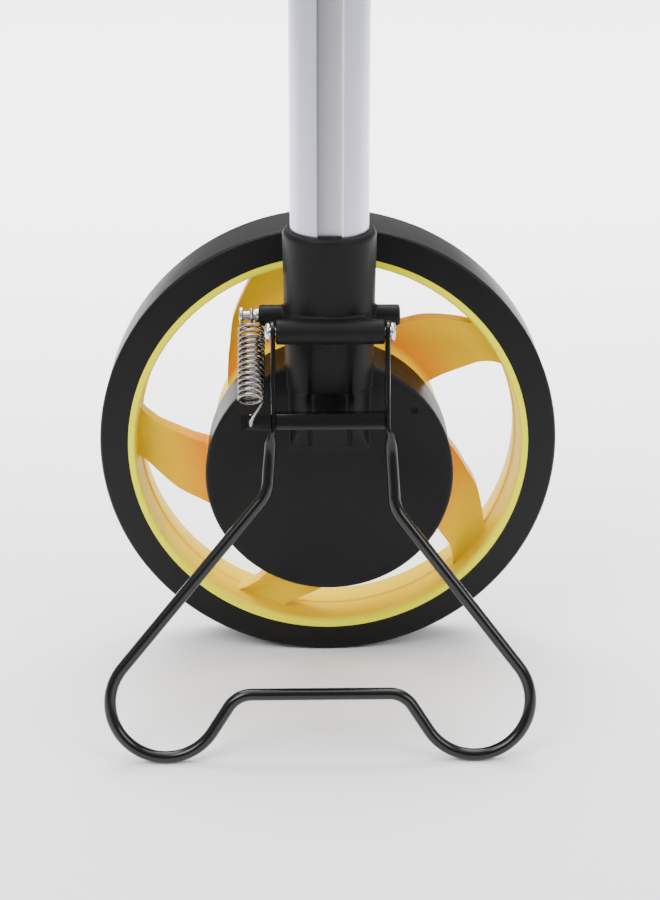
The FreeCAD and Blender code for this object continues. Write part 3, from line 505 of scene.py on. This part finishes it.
def pole_aluminium():
    """Satin anodised tube with fine drawing lines along it; in front, its channel has painted shade, with a
    painted shadow line along its left edge and a painted highlight along its right edge.
    """
    mat = new_material("pole_aluminium", (0.72, 0.72, 0.78), 0.34, Metallic=1.0)
    lines = add_noise(mat, 700.0, 2.0, stretch=(1, 1, 0.01))
    add_bump(mat, lines, 0.06, 0.02)
    add_range(mat, lines, "Roughness", 0.3, 0.4)
    satin = (0.52, 0.515, 0.63)
    # painted shade across the front: darker towards the tube's sides, a painted shadow line at the
    # channel's left edge, a floor that lightens to the right, and a painted highlight at its right edge
    left_side = [(-13.0, (0.5, 0.49, 0.54)), (-10.5, satin), (-4.4, satin)]
    channel = [(-3.9, (0.16, 0.16, 0.18)), (-3.4, (0.27, 0.27, 0.3)), (2.6, (0.46, 0.46, 0.5)),
               (3.6, (0.54, 0.54, 0.58)), (3.9, (0.9, 0.9, 0.94))]
    right_side = [(4.5, satin), (10.5, (0.52, 0.52, 0.63)), (13.0, (0.4, 0.4, 0.48))]
    across = ramp_over(mat, place_along(mat, "X"), left_side + channel + right_side)
    on, off = (1, 1, 1), (0, 0, 0)
    # the painted shade and highlight are kept to the front, below y = -45 mm; behind that the tube is plain
    # satin
    front = ramp_over(mat, place_along(mat, "Y"), [(-45.9, on), (-45.0, on), (-44.6, off)])
    tone = blend(mat, front, across, satin, output_last=True)
    mat.node_tree.links.new(tone, mat.node_tree.nodes["Principled BSDF"].inputs["Base Color"])
    return mat


def bright_zinc():
    """Bright zinc plate."""
    mat = new_material("bright_zinc", (0.6, 0.61, 0.63), 0.24, Metallic=1.0)
    cloud = add_noise(mat, 60.0, 2.0)
    add_range(mat, cloud, "Roughness", 0.2, 0.28)
    return mat


def spring_steel():
    """Drawn spring wire with a warm cast."""
    mat = new_material("spring_steel", (0.25, 0.235, 0.22), 0.24, Metallic=1.0)
    cloud = add_noise(mat, 600.0, 2.0)
    add_range(mat, cloud, "Roughness", 0.2, 0.28)
    return mat


def black_enamel():
    """Gloss black coating on wire."""
    mat = new_material("black_enamel", (0.003, 0.003, 0.0032), 0.17, Specular_IOR_Level=0.38)
    dimple = add_noise(mat, 500.0, 2.0)
    add_bump(mat, dimple, 0.08, 0.05)
    return mat


def plain(name, colour, roughness, grain=600.0, **sockets):
    """A lesser finish: one colour with a slight grain and cloud."""
    mat = new_material(name, colour, roughness, **sockets)
    noise = add_noise(mat, grain, 2.0)
    add_bump(mat, noise, 0.1, 0.03)
    cloud = add_noise(mat, 60.0, 2.0)
    add_range(mat, cloud, "Roughness", roughness * 0.88, min(1.0, roughness * 1.12))
    return mat


BLACK = moulded_black()
RUBBER = tyre_rubber()
YELLOW = wheel_yellow()
ALUMINIUM = pole_aluminium()
ZINC = bright_zinc()
SPRING = spring_steel()
ENAMEL = black_enamel()
GRIP = plain("grip_rubber", (0.007, 0.007, 0.0073), 0.6, 1200.0, Specular_IOR_Level=0.15)
BUSH = plain("bush_nylon", (0.75, 0.74, 0.7), 0.45)
BOARD = plain("circuit_board", (0.015, 0.12, 0.05), 0.35)
CHIP = plain("black_component", (0.02, 0.02, 0.02), 0.5)
LEVER = plain("lever_yellow", (0.55, 0.32, 0.0), 0.45, Specular_IOR_Level=0.06)
KEY = plain("key_rubber", (0.4, 0.15, 0.0), 0.6, Specular_IOR_Level=0.05)
CELL = plain("cell_sleeve", (0.12, 0.13, 0.16), 0.3)
PANEL = plain("display_panel", (0.15, 0.18, 0.12), 0.3, Specular_IOR_Level=0.2)
WINDOW = new_material("window", (0.02, 0.02, 0.022), 0.05, Alpha=0.14)


# ---- wheel --------------------------------------------------------------------------------------

def make_tyre():
    """Solid tyre: flat tread, eased shoulders, sides that widen towards the rim."""
    shoulder_r = WHEEL_R - 0.7
    shoulder_half = TREAD_HALF + 0.8
    outline = [(RIM_R, -RIM_HALF), (shoulder_r, -shoulder_half), (WHEEL_R, -TREAD_HALF),
               (WHEEL_R, TREAD_HALF), (shoulder_r, shoulder_half), (RIM_R, RIM_HALF)]
    eased = rounded(outline, [0.0, 0.8, 1.0, 1.0, 0.8, 0.0])
    tyre = lathe("tyre_visual", eased, (0, 0, AXLE_Z), steps=WHEEL_STEPS)
    finish_piece(tyre, RUBBER, "wheel", "tyre_rubber", "tyre")


def spoke_edge(edge, radius):
    """The angle in degrees of a blade's edge at a radius, from its (radius, angle) spots."""
    radii, angles = zip(*edge)
    return np.interp(radius, radii, angles)


def arch(u):
    """Height of a blade's curved face, from 0 at its edges (u = 0 and 1) to 1 in its middle."""
    return math.sin(math.pi * u) ** 0.8


def spoke_points(first_angle):
    """Rings of one blade from the drum to the rim: dished front, arched back, swept outline."""
    stations = 28
    across = 14
    rings = []
    for i in range(stations + 1):
        t = i / stations
        radius = SPOKE_START_R + (SPOKE_END_R - SPOKE_START_R) * t
        lead = spoke_edge(SPOKE_LEAD, radius)
        trail = spoke_edge(SPOKE_TRAIL, radius)
        front = SPOKE_FRONT_Y + SPOKE_TILT * min(1.0, t * 1.25)
        dish = SPOKE_DISH * math.sin(math.pi * t) ** 0.5 + 0.8
        thick = SPOKE_THICK - SPOKE_THINNING * t
        section = []
        for k in range(across + 1):
            u = k / across
            section.append((lead + (trail - lead) * u, front + dish * arch(u)))
        for k in range(across + 1):
            u = 1 - k / across
            section.append((lead + (trail - lead) * u, front + thick + 0.6 * dish * arch(u)))
        ring = []
        for degrees, y in section:
            angle = math.radians(degrees + first_angle)
            ring.append((radius * math.cos(angle), y, AXLE_Z + radius * math.sin(angle)))
        rings.append(ring)
    return rings


def make_drum():
    """Hub drum, open at both sides of its web, and the boss round the axle."""
    inside = DRUM_R - 2.6
    boss_in, boss_out = 11.0, 15.0
    web_front, web_back = -9.0, -6.0
    outline = [(boss_in, -11.5), (boss_out, -11.5), (boss_out, web_front), (inside, web_front),
               (inside + 0.5, -14.6), (DRUM_R, -14.6), (DRUM_R - 0.3, 9.0), (inside, 9.0),
               (inside, web_back), (boss_out, web_back), (boss_out, 12.0), (boss_in, 12.0)]
    radii = [0, 0.4, 0.6, 1.0, 0.5, 0.5, 0.6, 0.6, 1.2, 1.2, 0.5, 0]
    return lathe("drum", rounded(outline, radii, 4), (0, 0, AXLE_Z), steps=240)


def make_wheel():
    """Rim, blades, drum, web and boss of the yellow moulding, with the pads on its web."""
    lip = [(67.6, -RIM_HALF), (RIM_R, -RIM_HALF), (RIM_R, RIM_HALF), (67.0, RIM_HALF), (66.7, 5.0),
           (66.2, 4.4), (66.2, 0.5), (66.8, -0.2), (67.0, -12.0)]
    eased = rounded(lip, [0.5, 0, 0, 0.6, 0.5, 0.4, 0.4, 0.5, 0.9])
    rim = lathe("wheel_visual", eased, (0, 0, AXLE_Z), steps=WHEEL_STEPS)
    parts = [make_drum()]
    for n in range(SPOKES):
        rings = spoke_points(SPOKE_FIRST + 360 / SPOKES * n)
        parts.append(mesh_object(f"blade_{n}", *skin(rings)))
    for n in range(PADS):
        angle = math.radians(45 + 360 / PADS * n)
        spot = (PAD_CIRCLE_R * math.cos(angle), -14.0, AXLE_Z + PAD_CIRCLE_R * math.sin(angle))
        parts.append(disc_stack("pad", [(4.2, 0), (4.6, 0.4), (4.6, 6.0)], spot, steps=32))
    combine(rim, parts, "UNION")
    spokes = [f"spoke_{n + 1}" for n in range(SPOKES)]
    stands_for = ["wheel_rim", "hub_drum", "hub_web", "hub_boss", *spokes]
    finish_piece(rim, YELLOW, "wheel", "yellow_plastic", *stands_for, degrees=40)


# ---- bracket ------------------------------------------------------------------------------------

def column_rings():
    """The column under the socket: a round bar cut by a slope in front, with two upright grooves."""
    foot_z, slope_z = 88.0, 104.0
    slope = 9.0 / 14.0
    levels = 27
    steps = 240
    rings = []
    for n in range(levels):
        z = foot_z + n
        front = POLE_Y - COLUMN_R + max(0.0, slope_z - z) * slope
        groove_floor = max(COLUMN_GROOVE_Y, front + 1.2)
        ring = []
        for k in range(steps):
            angle = 2 * math.pi * k / steps
            x = COLUMN_R * math.cos(angle)
            y = max(POLE_Y + COLUMN_R * math.sin(angle), front)
            if any(low < x < high for low, high in GROOVES):
                y = max(y, groove_floor)
            ring.append((x, min(y, COLUMN_BACK_Y), z))
        rings.append(ring)
    return rings


def join(name, pieces):
    """One mesh from several closed ones, which are used up."""
    work = bmesh.new()
    for piece in pieces:
        work.from_mesh(piece.data)
        bpy.data.objects.remove(piece)
    mesh = bpy.data.meshes.new(name)
    work.to_mesh(mesh)
    work.free()
    obj = bpy.data.objects.new(name, mesh)
    bpy.context.scene.collection.objects.link(obj)
    return obj


def make_case():
    """Shallow round case, open behind, with an eased front edge, and the boss in its middle."""
    wall = 2.8
    outline = [(ON_AXIS, CASE_FRONT_Y), (CASE_R - 1.4, CASE_FRONT_Y), (CASE_R - 0.5, CASE_FRONT_Y + 0.35),
               (CASE_R, CASE_FRONT_Y + 1.2), (CASE_R, CASE_BACK_Y), (CASE_R - wall, CASE_BACK_Y),
               (CASE_R - wall, CASE_FRONT_Y + wall), (ON_AXIS, CASE_FRONT_Y + wall)]
    case = lathe("case", outline, (0, 0, AXLE_Z), steps=240)
    boss_r = 8.5
    ends = [(boss_r, CASE_FRONT_Y + 1), (boss_r, CASE_BACK_Y - 3.2)]
    boss = disc_stack("boss", ends, (0, 0, AXLE_Z), steps=64)
    return case, boss


def make_socket():
    """Socket for the pole, slightly wider at its top, and the thicker heel behind it."""
    top = SOCKET_TOP
    outline = [(14.5, SOCKET_LOW), (15.25, top - 1.6), (14.8, top - 0.5), (14.0, top), (ON_AXIS, top),
               (ON_AXIS, SOCKET_LOW)]
    socket = lathe("socket", outline, (0, POLE_Y, 0), axis="Z", steps=160)
    heel = slab("heel", (-14.5, POLE_Y - 1.0, SOCKET_LOW), (14.5, POLE_Y + 11.0, SOCKET_LOW + 10))
    return socket, heel


def make_cross_bosses():
    """Boss through the pole's axis for the spring's screw, and the stand's boss with its neck."""
    end = BOSS_END_X
    profile = [(3.1, -end), (3.5, 0.4 - end), (3.5, end - 0.4), (3.1, end)]
    cross = disc_stack("cross", profile, (0, POLE_Y, ANCHOR_Z), axis="X", steps=48)
    end = 17.4
    profile = [(3.6, -end), (4.0, 0.4 - end), (4.0, end - 0.4), (3.6, end)]
    pivot = disc_stack("stand_boss", profile, tuple(PIVOT), axis="X", steps=48)
    neck = slab("neck", (-12.4, PIVOT.y, PIVOT.z - 3.6), (12.4, PIVOT.y + 8, PIVOT.z + 3.6))
    return cross, pivot, neck


def make_bracket():
    """Case, socket, column and bosses, melted into one moulding, then bored and grooved."""
    case, boss = make_case()
    socket, heel = make_socket()
    column = mesh_object("column", *skin(column_rings()))
    cross, pivot, neck = make_cross_bosses()
    moulding = join("bracket_visual", [case, socket, column, cross, pivot, neck, heel, boss])
    melt(moulding, 0.5, 3)
    cuts = []
    for left, right in GROOVES:
        low_corner = (left, OUTSIDE_Y, SOCKET_LOW - 0.6)
        cuts.append(slab("groove", low_corner, (right, SOCKET_GROOVE_Y, GROOVE_TOP)))
    bore = [(SOCKET_BORE_R, 113.5), (SOCKET_BORE_R, 190.0)]
    cuts.append(disc_stack("bore", bore, (0, POLE_Y, 0), axis="Z", steps=160))
    dimple = [(1.3, CASE_FRONT_Y - 1), (1.2, CASE_FRONT_Y + 0.5), (0.4, CASE_FRONT_Y + 1.0)]
    cuts.append(disc_stack("dimple", dimple, (28.0, 0, AXLE_Z + 24), steps=32))
    combine(moulding, cuts, "DIFFERENCE")
    finish_piece(moulding, BLACK, "frame", "black_plastic", "bracket")


# ---- screws -------------------------------------------------------------------------------------

def make_pivot_screws():
    """Pan heads outside the stand's arms, each with a cross recess."""
    dome = [(3.05, 0.0), (3.1, 0.35), (2.9, 0.85), (2.3, 1.25), (1.4, 1.52), (0.5, 1.6)]
    shank_r = 1.55
    heads = []
    for side in (-1, 1):
        face = side * SCREW_FACE_X
        profile = [(radius, face + side * out) for radius, out in dome]
        head = disc_stack("head", profile, (0, PIVOT.y, PIVOT.z), axis="X", steps=48)
        near, far = sorted((face + side * 0.9, face + side * 4.0))
        cuts = []
        for wide, high in ((0.45, 1.7), (1.7, 0.45)):
            low_corner = (near, PIVOT.y - wide, PIVOT.z - high)
            high_corner = (far, PIVOT.y + wide, PIVOT.z + high)
            cuts.append(slab("slot", low_corner, high_corner))
        combine(head, cuts, "DIFFERENCE")
        ends = [(shank_r, face - side * 11), (shank_r, face + side * 0.2)]
        shank = disc_stack("shank", ends, (0, PIVOT.y, PIVOT.z), axis="X", steps=32)
        combine(head, [shank], "UNION")
        heads.append(head)
    screws = combine(heads[0], [heads[1]], "UNION")
    screws.name = "pivot_screws_visual"
    finish_piece(screws, ZINC, "frame", "steel", "pivot_screws")


def make_spring_screw():
    """Screw in the end of the cross boss, its head standing off the boss, and its washer."""
    place = (-BOSS_END_X, POLE_Y, ANCHOR_Z)
    head = [(2.5, -6.4), (2.8, -6.1), (2.8, -5.4), (2.5, -5.1), (1.5, -5.0), (1.5, 7.0)]
    screw = disc_stack("spring_screw_visual", head, place, axis="X", steps=40)
    finish_piece(screw, ZINC, "frame", "steel", "spring_screw")
    ring = rounded([(1.5, -1.4), (2.3, -1.4), (2.3, 0.0), (1.5, 0.0)], 0.15, 3)
    washer = lathe("spring_washer_visual", ring, place, axis="X", steps=40)
    finish_piece(washer, ZINC, "frame", "steel", "spring_washer")


# ---- stand --------------------------------------------------------------------------------------

DOWN = Vector((0, -math.sin(LEAN), -math.cos(LEAN)))
OUT = Vector((0, -math.cos(LEAN), math.sin(LEAN)))


def on_stand(x, reach, out=0.0):
    """A point of the stand: across, down its plane from the pivot, and out of the plane."""
    return Vector((x, PIVOT.y, PIVOT.z)) + DOWN * reach + OUT * out


def arc_points(centre, radius, start, end, steps):
    """Points on an arc in (x, reach) between two angles in degrees, x = cos, reach = sin."""
    spots = []
    for n in range(steps + 1):
        angle = math.radians(start + (end - start) * n / steps)
        spots.append((centre[0] + radius * math.cos(angle), centre[1] + radius * math.sin(angle)))
    return spots


def bend_points(before, corner, after, radius, lead):
    """Lead-in points that stay clear of a bend, then the bend's arc, tangent to both runs."""
    back = (before - corner).normalized()
    ahead = (after - corner).normalized()
    half = back.angle(ahead) / 2
    leg = radius / math.tan(half)
    centre = corner + (back + ahead).normalized() * (radius / math.sin(half))
    start = corner + back * leg - centre
    end = corner + ahead * leg - centre
    turn = start.angle_signed(end)
    arc = [tuple(centre + Matrix.Rotation(-turn * n / 10, 2) @ start) for n in range(11)]
    return [p for p in lead if (Vector(p) - corner).length > leg + 0.5] + arc


def leg_path(spread, knee_drop):
    """One leg in (x, reach): arm, knee, straight run, foot loop, rise, bend into the cross run."""
    foot_low = (PIVOT.z - WIRE_R) / math.cos(LEAN)
    foot = Vector((spread, foot_low - FOOT_LOOP_R))
    knee = Vector((KNEE_X, knee_drop))
    reach = foot - knee
    heading = math.atan2(reach.y, reach.x) - math.asin(FOOT_LOOP_R / reach.length)
    run = Vector((math.cos(heading), math.sin(heading)))
    outer = knee + run * math.sqrt(reach.length ** 2 - FOOT_LOOP_R ** 2)
    start = math.degrees(math.atan2(outer.y - foot.y, outer.x - foot.x))
    circle = arc_points(foot, FOOT_LOOP_R, start, 180.0 - FOOT_RISE, 40)
    inner = Vector(circle[-1])
    climb = Vector((-math.sin(math.radians(FOOT_RISE)), -math.cos(math.radians(FOOT_RISE))))
    corner = inner + climb * ((inner.y - CROSS_DROP) / -climb.y)
    shoulder = Vector((19.1, 32.5))
    arm_end = (18.5, 31.5)
    points = [(ARM_X, -ARM_HALF * (1 - n / 10)) for n in range(10)]
    points += [(ARM_X, n * 3.0) for n in range(1, 11)]
    points.append(arm_end)
    lead = [tuple(shoulder + (knee - shoulder) * n / 6) for n in range(6)]
    points += bend_points(Vector(arm_end), knee, outer, KNEE_BEND_R, lead)
    points += circle
    points += bend_points(inner, corner, Vector((0.0, CROSS_DROP)), CROSS_BEND_R, [])
    return points


def wire_section(x, reach):
    """A section of the stand's wire: a flat arm with a round end that eases into round wire."""
    flat_end, round_start = 31.0, 38.0
    if reach < flat_end and abs(x) < 19.5:
        end_curve = math.sqrt(max(0.0, ARM_HALF ** 2 - min(0.0, reach) ** 2))
        return (max(end_curve, 0.4), ARM_THICK_HALF), ARM_SQUARE
    if reach < round_start and abs(x) < 22:
        t = (reach - flat_end) / (round_start - flat_end)
        t = t * t * (3 - 2 * t)
        wide = ARM_HALF + (WIRE_R - ARM_HALF) * t
        thick = ARM_THICK_HALF + (WIRE_R - ARM_THICK_HALF) * min(1.0, t * 1.6)
        return (wide, thick), ARM_SQUARE + (ROUND_WIRE - ARM_SQUARE) * t
    return (WIRE_R, WIRE_R), ROUND_WIRE


def make_stand_wire():
    """The bent wire: round in the legs and feet, pressed flat and thin in the arms."""
    right = leg_path(*RIGHT_LEG)
    left = [(-x, reach) for x, reach in leg_path(*LEFT_LEG)]
    path = right + left[::-1]
    points = [on_stand(x, reach) for x, reach in path]
    sections = [wire_section(x, reach) for x, reach in path]
    wire = sweep("stand_wire_visual", points, sections, OUT, steps=20)
    finish_piece(wire, ENAMEL, "stand", "black_wire", "stand_wire")


def stand_block(across, reach, out):
    """A box in the stand's own directions, from a (low, high) pair for each."""
    verts = [on_stand(x, r, o) for x in across for r in reach for o in out]
    faces = [(0, 1, 3, 2), (4, 6, 7, 5), (0, 4, 5, 1), (2, 3, 7, 6), (0, 2, 6, 4), (1, 5, 7, 3)]
    return mesh_object("bar", verts, faces)


def make_stand_bar():
    """Angle strip between the arms and the spring's tab, with the tab's hole."""
    between = (-BAR_HALF, BAR_HALF)
    deep = (BAR_DROP, BAR_DROP + 5.0)
    front = stand_block(between, deep, (1.2, 2.4))
    flange = stand_block(between, (BAR_DROP, BAR_DROP + 1.2), (-9.2, 2.3))
    tab = stand_block((-28.6, -19.0), deep, (4.4, 5.6))
    link = stand_block((-20.7, -19.1), deep, (-1.4, 5.0))
    hole = coil("hole", [on_stand(SPRING_X, HOLE_DROP, out) for out in (9.0, 5.0, 1.0)], 1.1, steps=24)
    combine(front, [flange], "UNION")
    combine(tab, [link], "UNION")
    combine(tab, [hole], "DIFFERENCE")
    for piece in (front, tab):
        ease(piece, 0.3)
    bar = combine(front, [tab], "UNION")
    bar.name = "stand_bar_visual"
    finish_piece(bar, ENAMEL, "stand", "black_wire", "stand_bar")


def make_spring():
    """Extension spring with a loop round its screw and a hook through the tab."""
    high = Vector((SPRING_X, POLE_Y, ANCHOR_Z))
    low = on_stand(SPRING_X, HOLE_DROP - LOOP_R, 5.0)
    axis = (low - high).normalized()
    side = Vector((1, 0, 0))
    deep = axis.cross(side)
    coil_start = ((low - high).length - COIL_LONG) / 2
    points = []

    def add(down, left, back):
        points.append(high + axis * down - side * left + deep * back)

    for n in range(37):
        angle = math.radians(-60 - 300 * (1 - n / 36))
        reach = LOOP_LOW if math.cos(angle) > 0 else LOOP_R
        add(reach * math.cos(angle), 0.0, LOOP_R * math.sin(angle))
    loop_end = LOOP_LOW * 0.5
    for n in range(1, 7):
        t = n / 6
        add(loop_end + (coil_start - loop_end) * t, COIL_R * t ** 2, -LOOP_R * 0.86 * (1 - t))
    steps = int(COIL_TURNS * COIL_STEPS)
    for n in range(1, steps + 1):
        angle = 2 * math.pi * COIL_TURNS * n / steps
        add(coil_start + COIL_LONG * n / steps, COIL_R * math.cos(angle), COIL_R * math.sin(angle))
    bends = [(-25.2, 27.6, 7.6), (SPRING_X, 29.0, 6.9), (SPRING_X, 29.3, 6.2), (SPRING_X, 28.6, 5.0),
             (SPRING_X, 27.6, 4.0), (SPRING_X, 26.0, 3.4)]
    hook = [on_stand(*bend) for bend in bends]
    coil_end = points[-1]
    points += [coil_end + (hook[0] - coil_end) * n / 5 for n in range(1, 6)]
    points += hook[1:]
    spring = coil("stand_spring_visual", points, SPRING_WIRE_R, steps=12)
    finish_piece(spring, SPRING, "spring", "spring_steel", "stand_spring")
    return spring, high - axis * LOOP_R, axis


# ---- pole ---------------------------------------------------------------------------------------

def channelled(radius, floor, half):
    """Outline of a tube with a flat-bottomed channel facing -Y, about the pole's axis."""
    steps = 120
    edge = math.asin(half / radius)
    spots = []
    for n in range(steps + 1):
        angle = -math.pi / 2 + edge + (2 * math.pi - 2 * edge) * n / steps
        spots.append((radius * math.cos(angle), POLE_Y + radius * math.sin(angle)))
    spots += [(-half, POLE_Y - floor), (half, POLE_Y - floor)]
    return spots


def make_lower_tube():
    """The drawn lower tube, with a channel down its front."""
    outer = channelled(TUBE_R, 11.25, CHANNEL_HALF)
    inner = channelled(TUBE_R - TUBE_WALL, 10.6, CHANNEL_HALF + TUBE_WALL)
    tube = prism("lower_tube_visual", outer, TUBE_LOW, TUBE_TOP)
    bore = prism("bore", inner, TUBE_LOW - 1, TUBE_TOP + 1)
    combine(tube, [bore], "DIFFERENCE")
    finish_piece(tube, ALUMINIUM, "frame", "anodised_aluminium", "lower_tube", degrees=25)


# ---- grip sleeve --------------------------------------------------------------------------------

def on_grip(along, across, under):
    """A point of the grip: along its axis from the head, across it, and towards its underside."""
    return GRIP_START + GRIP_ALONG * along + GRIP_UNDER * under + Vector((0.0, across, 0.0))


def grip_ring(along, inset):
    """The sleeve's section, a rectangle with round corners, let in from its outside."""
    radius = GRIP_CORNER - inset
    steps = 10
    ring = []
    for side_y, side_z, start in ((1, 1, 0), (-1, 1, 90), (-1, -1, 180), (1, -1, 270)):
        for n in range(steps + 1):
            angle = math.radians(start + 90 * n / steps)
            across = side_y * (SLEEVE_HALF_WIDE - GRIP_CORNER) + radius * math.cos(angle)
            under = side_z * (SLEEVE_HALF_DEEP - GRIP_CORNER) + radius * math.sin(angle)
            ring.append(on_grip(along, across, under))
    return ring


def make_sleeve():
    """Rubber sleeve with a ring groove every few millimetres."""
    low, high, wall = 32.0, 115.0, 1.8
    groove = [(-0.9, 0.0), (-0.5, 0.2), (0.0, 0.7), (0.5, 0.2), (0.9, 0.0)]
    grooves, first, pitch = 16, low + 8.0, 4.4
    profile = [(low, 0.8), (low + 0.25, 0.3), (low + 0.8, 0.0)]
    for n in range(grooves):
        profile += [(first + pitch * n + offset, depth) for offset, depth in groove]
    profile += [(high - 0.8, 0.0), (high - 0.25, 0.3), (high, 0.8), (high, wall), (low, wall)]
    rings = [grip_ring(along, inset) for along, inset in profile]
    sleeve = mesh_object("grip_sleeve_visual", *skin(rings, closed_path=True))
    finish_piece(sleeve, GRIP, "handle", "grip_rubber", "grip_sleeve")


# ---- CAD pieces that only get rounded edges -----------------------------------------------------

# names, material, body, slot, and how wide the rounding is
SOFTENED = (
    (["handle_left_shell", "handle_right_shell"], BLACK, "handle", "black_plastic", 0.7),
    (["lower_collar"], BLACK, "frame", "black_plastic", 0.4),
    (["upper_collar"], BLACK, "mid_section", "black_plastic", 0.4),
    (["end_cap"], BLACK, "end_cap", "black_plastic", 0.5),
    (["lower_lever"], LEVER, "lower_clamp_lever", "lever_plastic", 0.5),
    (["upper_lever"], LEVER, "upper_clamp_lever", "lever_plastic", 0.5),
)


def clean_copy(name):
    """A copy of a CAD piece, its triangles joined into flat faces so that only true edges are left."""
    piece = bpy.data.objects.new(name + "_visual", NODES[name].data.copy())
    bpy.context.scene.collection.objects.link(piece)
    work = bmesh.new()
    work.from_mesh(piece.data)
    bmesh.ops.remove_doubles(work, verts=work.verts, dist=0.001 * MM)
    bmesh.ops.dissolve_limit(work, angle_limit=math.radians(1.0), verts=work.verts, edges=work.edges)
    work.to_mesh(piece.data)
    work.free()
    return piece


def make_softened():
    """Rounded copies of the moulded CAD pieces, shaded so that their flat faces stay flat."""
    for names, material, body, slot, width in SOFTENED:
        for name in names:
            piece = clean_copy(name)
            ease(piece, width, 35)
            finish_piece(piece, material, body, slot, name)
            even = piece.modifiers.new("even", "WEIGHTED_NORMAL")
            even.keep_sharp = True
            bake(piece)


# ---- CAD pieces that show as they are -----------------------------------------------------------

KEPT = {
    ALUMINIUM: ["mid_tube", "upper_tube"],
    BLACK: ["case_cover", "hub_cap"],
    ZINC: ["case_screws", "axle", "axle_washer", "axle_nut", "socket_screw", "lower_lever_pin",
           "upper_lever_pin", "handle_pins", "handle_screws", "hub_magnets", "wheel_bearings"],
    SPRING: ["front_contact", "spring_contact"],
    BUSH: ["mid_bush", "upper_bush", "cell_carrier"],
    BOARD: ["sensor_board", "main_board"],
    CHIP: ["hall_sensors", "key_switches", "signal_cable"],
    KEY: ["power_key", "reset_key", "unit_key"],
    CELL: ["battery_cells"],
    PANEL: ["display_panel"],
    WINDOW: ["display_window"],
}


def dress_kept():
    """Give the CAD pieces that show as they are their finishes."""
    for material, names in KEPT.items():
        for name in names:
            obj = NODES[name]
            obj.data.materials.clear()
            obj.data.materials.append(material)
            shade(obj, 30)


# ---- stage --------------------------------------------------------------------------------------

def make_floor():
    """Wide matt white floor."""
    bpy.ops.mesh.primitive_plane_add(size=8.0, location=(0, 0, 0))
    floor = bpy.context.object
    floor.name = "floor"
    floor.data.materials.append(new_material("floor_white", (0.95, 0.95, 0.95), 0.9))


def make_world():
    """White world, dimmer on the front side (-Y), which the black pieces mirror."""
    front_strength, back_strength = 0.32, 0.72
    world = bpy.data.worlds.new("studio")
    bpy.context.scene.world = world
    world.use_nodes = True
    tree = world.node_tree
    where = tree.nodes.new("ShaderNodeTexCoord")
    split = tree.nodes.new("ShaderNodeSeparateXYZ")
    spread = tree.nodes.new("ShaderNodeMapRange")
    spread.interpolation_type = "SMOOTHSTEP"
    spread.inputs["From Min"].default_value = -1.0
    spread.inputs["From Max"].default_value = -0.3
    spread.inputs["To Min"].default_value = front_strength
    spread.inputs["To Max"].default_value = back_strength
    tree.links.new(where.outputs["Generated"], split.inputs["Vector"])
    tree.links.new(split.outputs["Y"], spread.inputs["Value"])
    tree.nodes["Background"].inputs["Color"].default_value = (1.0, 1.0, 1.0, 1.0)
    tree.links.new(spread.outputs["Result"], tree.nodes["Background"].inputs["Strength"])


def aim(obj, place, target):
    """Put a light or a camera at a place, looking at a target, both in metres."""
    obj.location = place
    obj.rotation_euler = (Vector(target) - Vector(place)).to_track_quat("-Z", "Y").to_euler()


def soft_box(name, place, target, size, power, spread=180.0):
    """A square area light aimed at a point."""
    data = bpy.data.lights.new(name, "AREA")
    data.size = size
    data.energy = power
    data.spread = math.radians(spread)
    light = bpy.data.objects.new(name, data)
    bpy.context.scene.collection.objects.link(light)
    aim(light, place, target)


def make_lights():
    """Key and side light in front, one above, and a narrow-spread one that brightens the floor behind."""
    soft_box("key", (-0.9, -1.1, 1.5), (0, 0, 0.1), 1.0, 28.0)
    soft_box("side", (1.3, -0.9, 1.1), (0, 0, 0.1), 0.9, 14.0)
    soft_box("top", (0.0, 0.2, 1.6), (0, 0.2, 0), 1.6, 28.0)
    soft_box("back", (0.0, 1.5, 1.0), (0, 1.4, 0), 2.4, 72.0, spread=85.0)


def make_camera():
    """Camera in front of the wheel, looking down on it by about 22 degrees."""
    data = bpy.data.cameras.new("camera")
    data.sensor_width = 36.0
    data.lens = 72.1
    data.shift_x = 0.0019
    data.shift_y = -0.0026
    camera = bpy.data.objects.new("camera", data)
    bpy.context.scene.collection.objects.link(camera)
    aim(camera, Vector((-9.8, -595.2, 317.05)) * MM, Vector((0, -12.0, AXLE_Z)) * MM)
    bpy.context.scene.camera = camera


make_tyre()
make_wheel()
make_bracket()
make_pivot_screws()
make_spring_screw()
make_stand_wire()
make_stand_bar()
spring_piece, spring_top, spring_axis = make_spring()
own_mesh(spring_piece)
make_lower_tube()
make_sleeve()
make_softened()
dress_kept()
make_floor()
make_world()
make_lights()
make_camera()
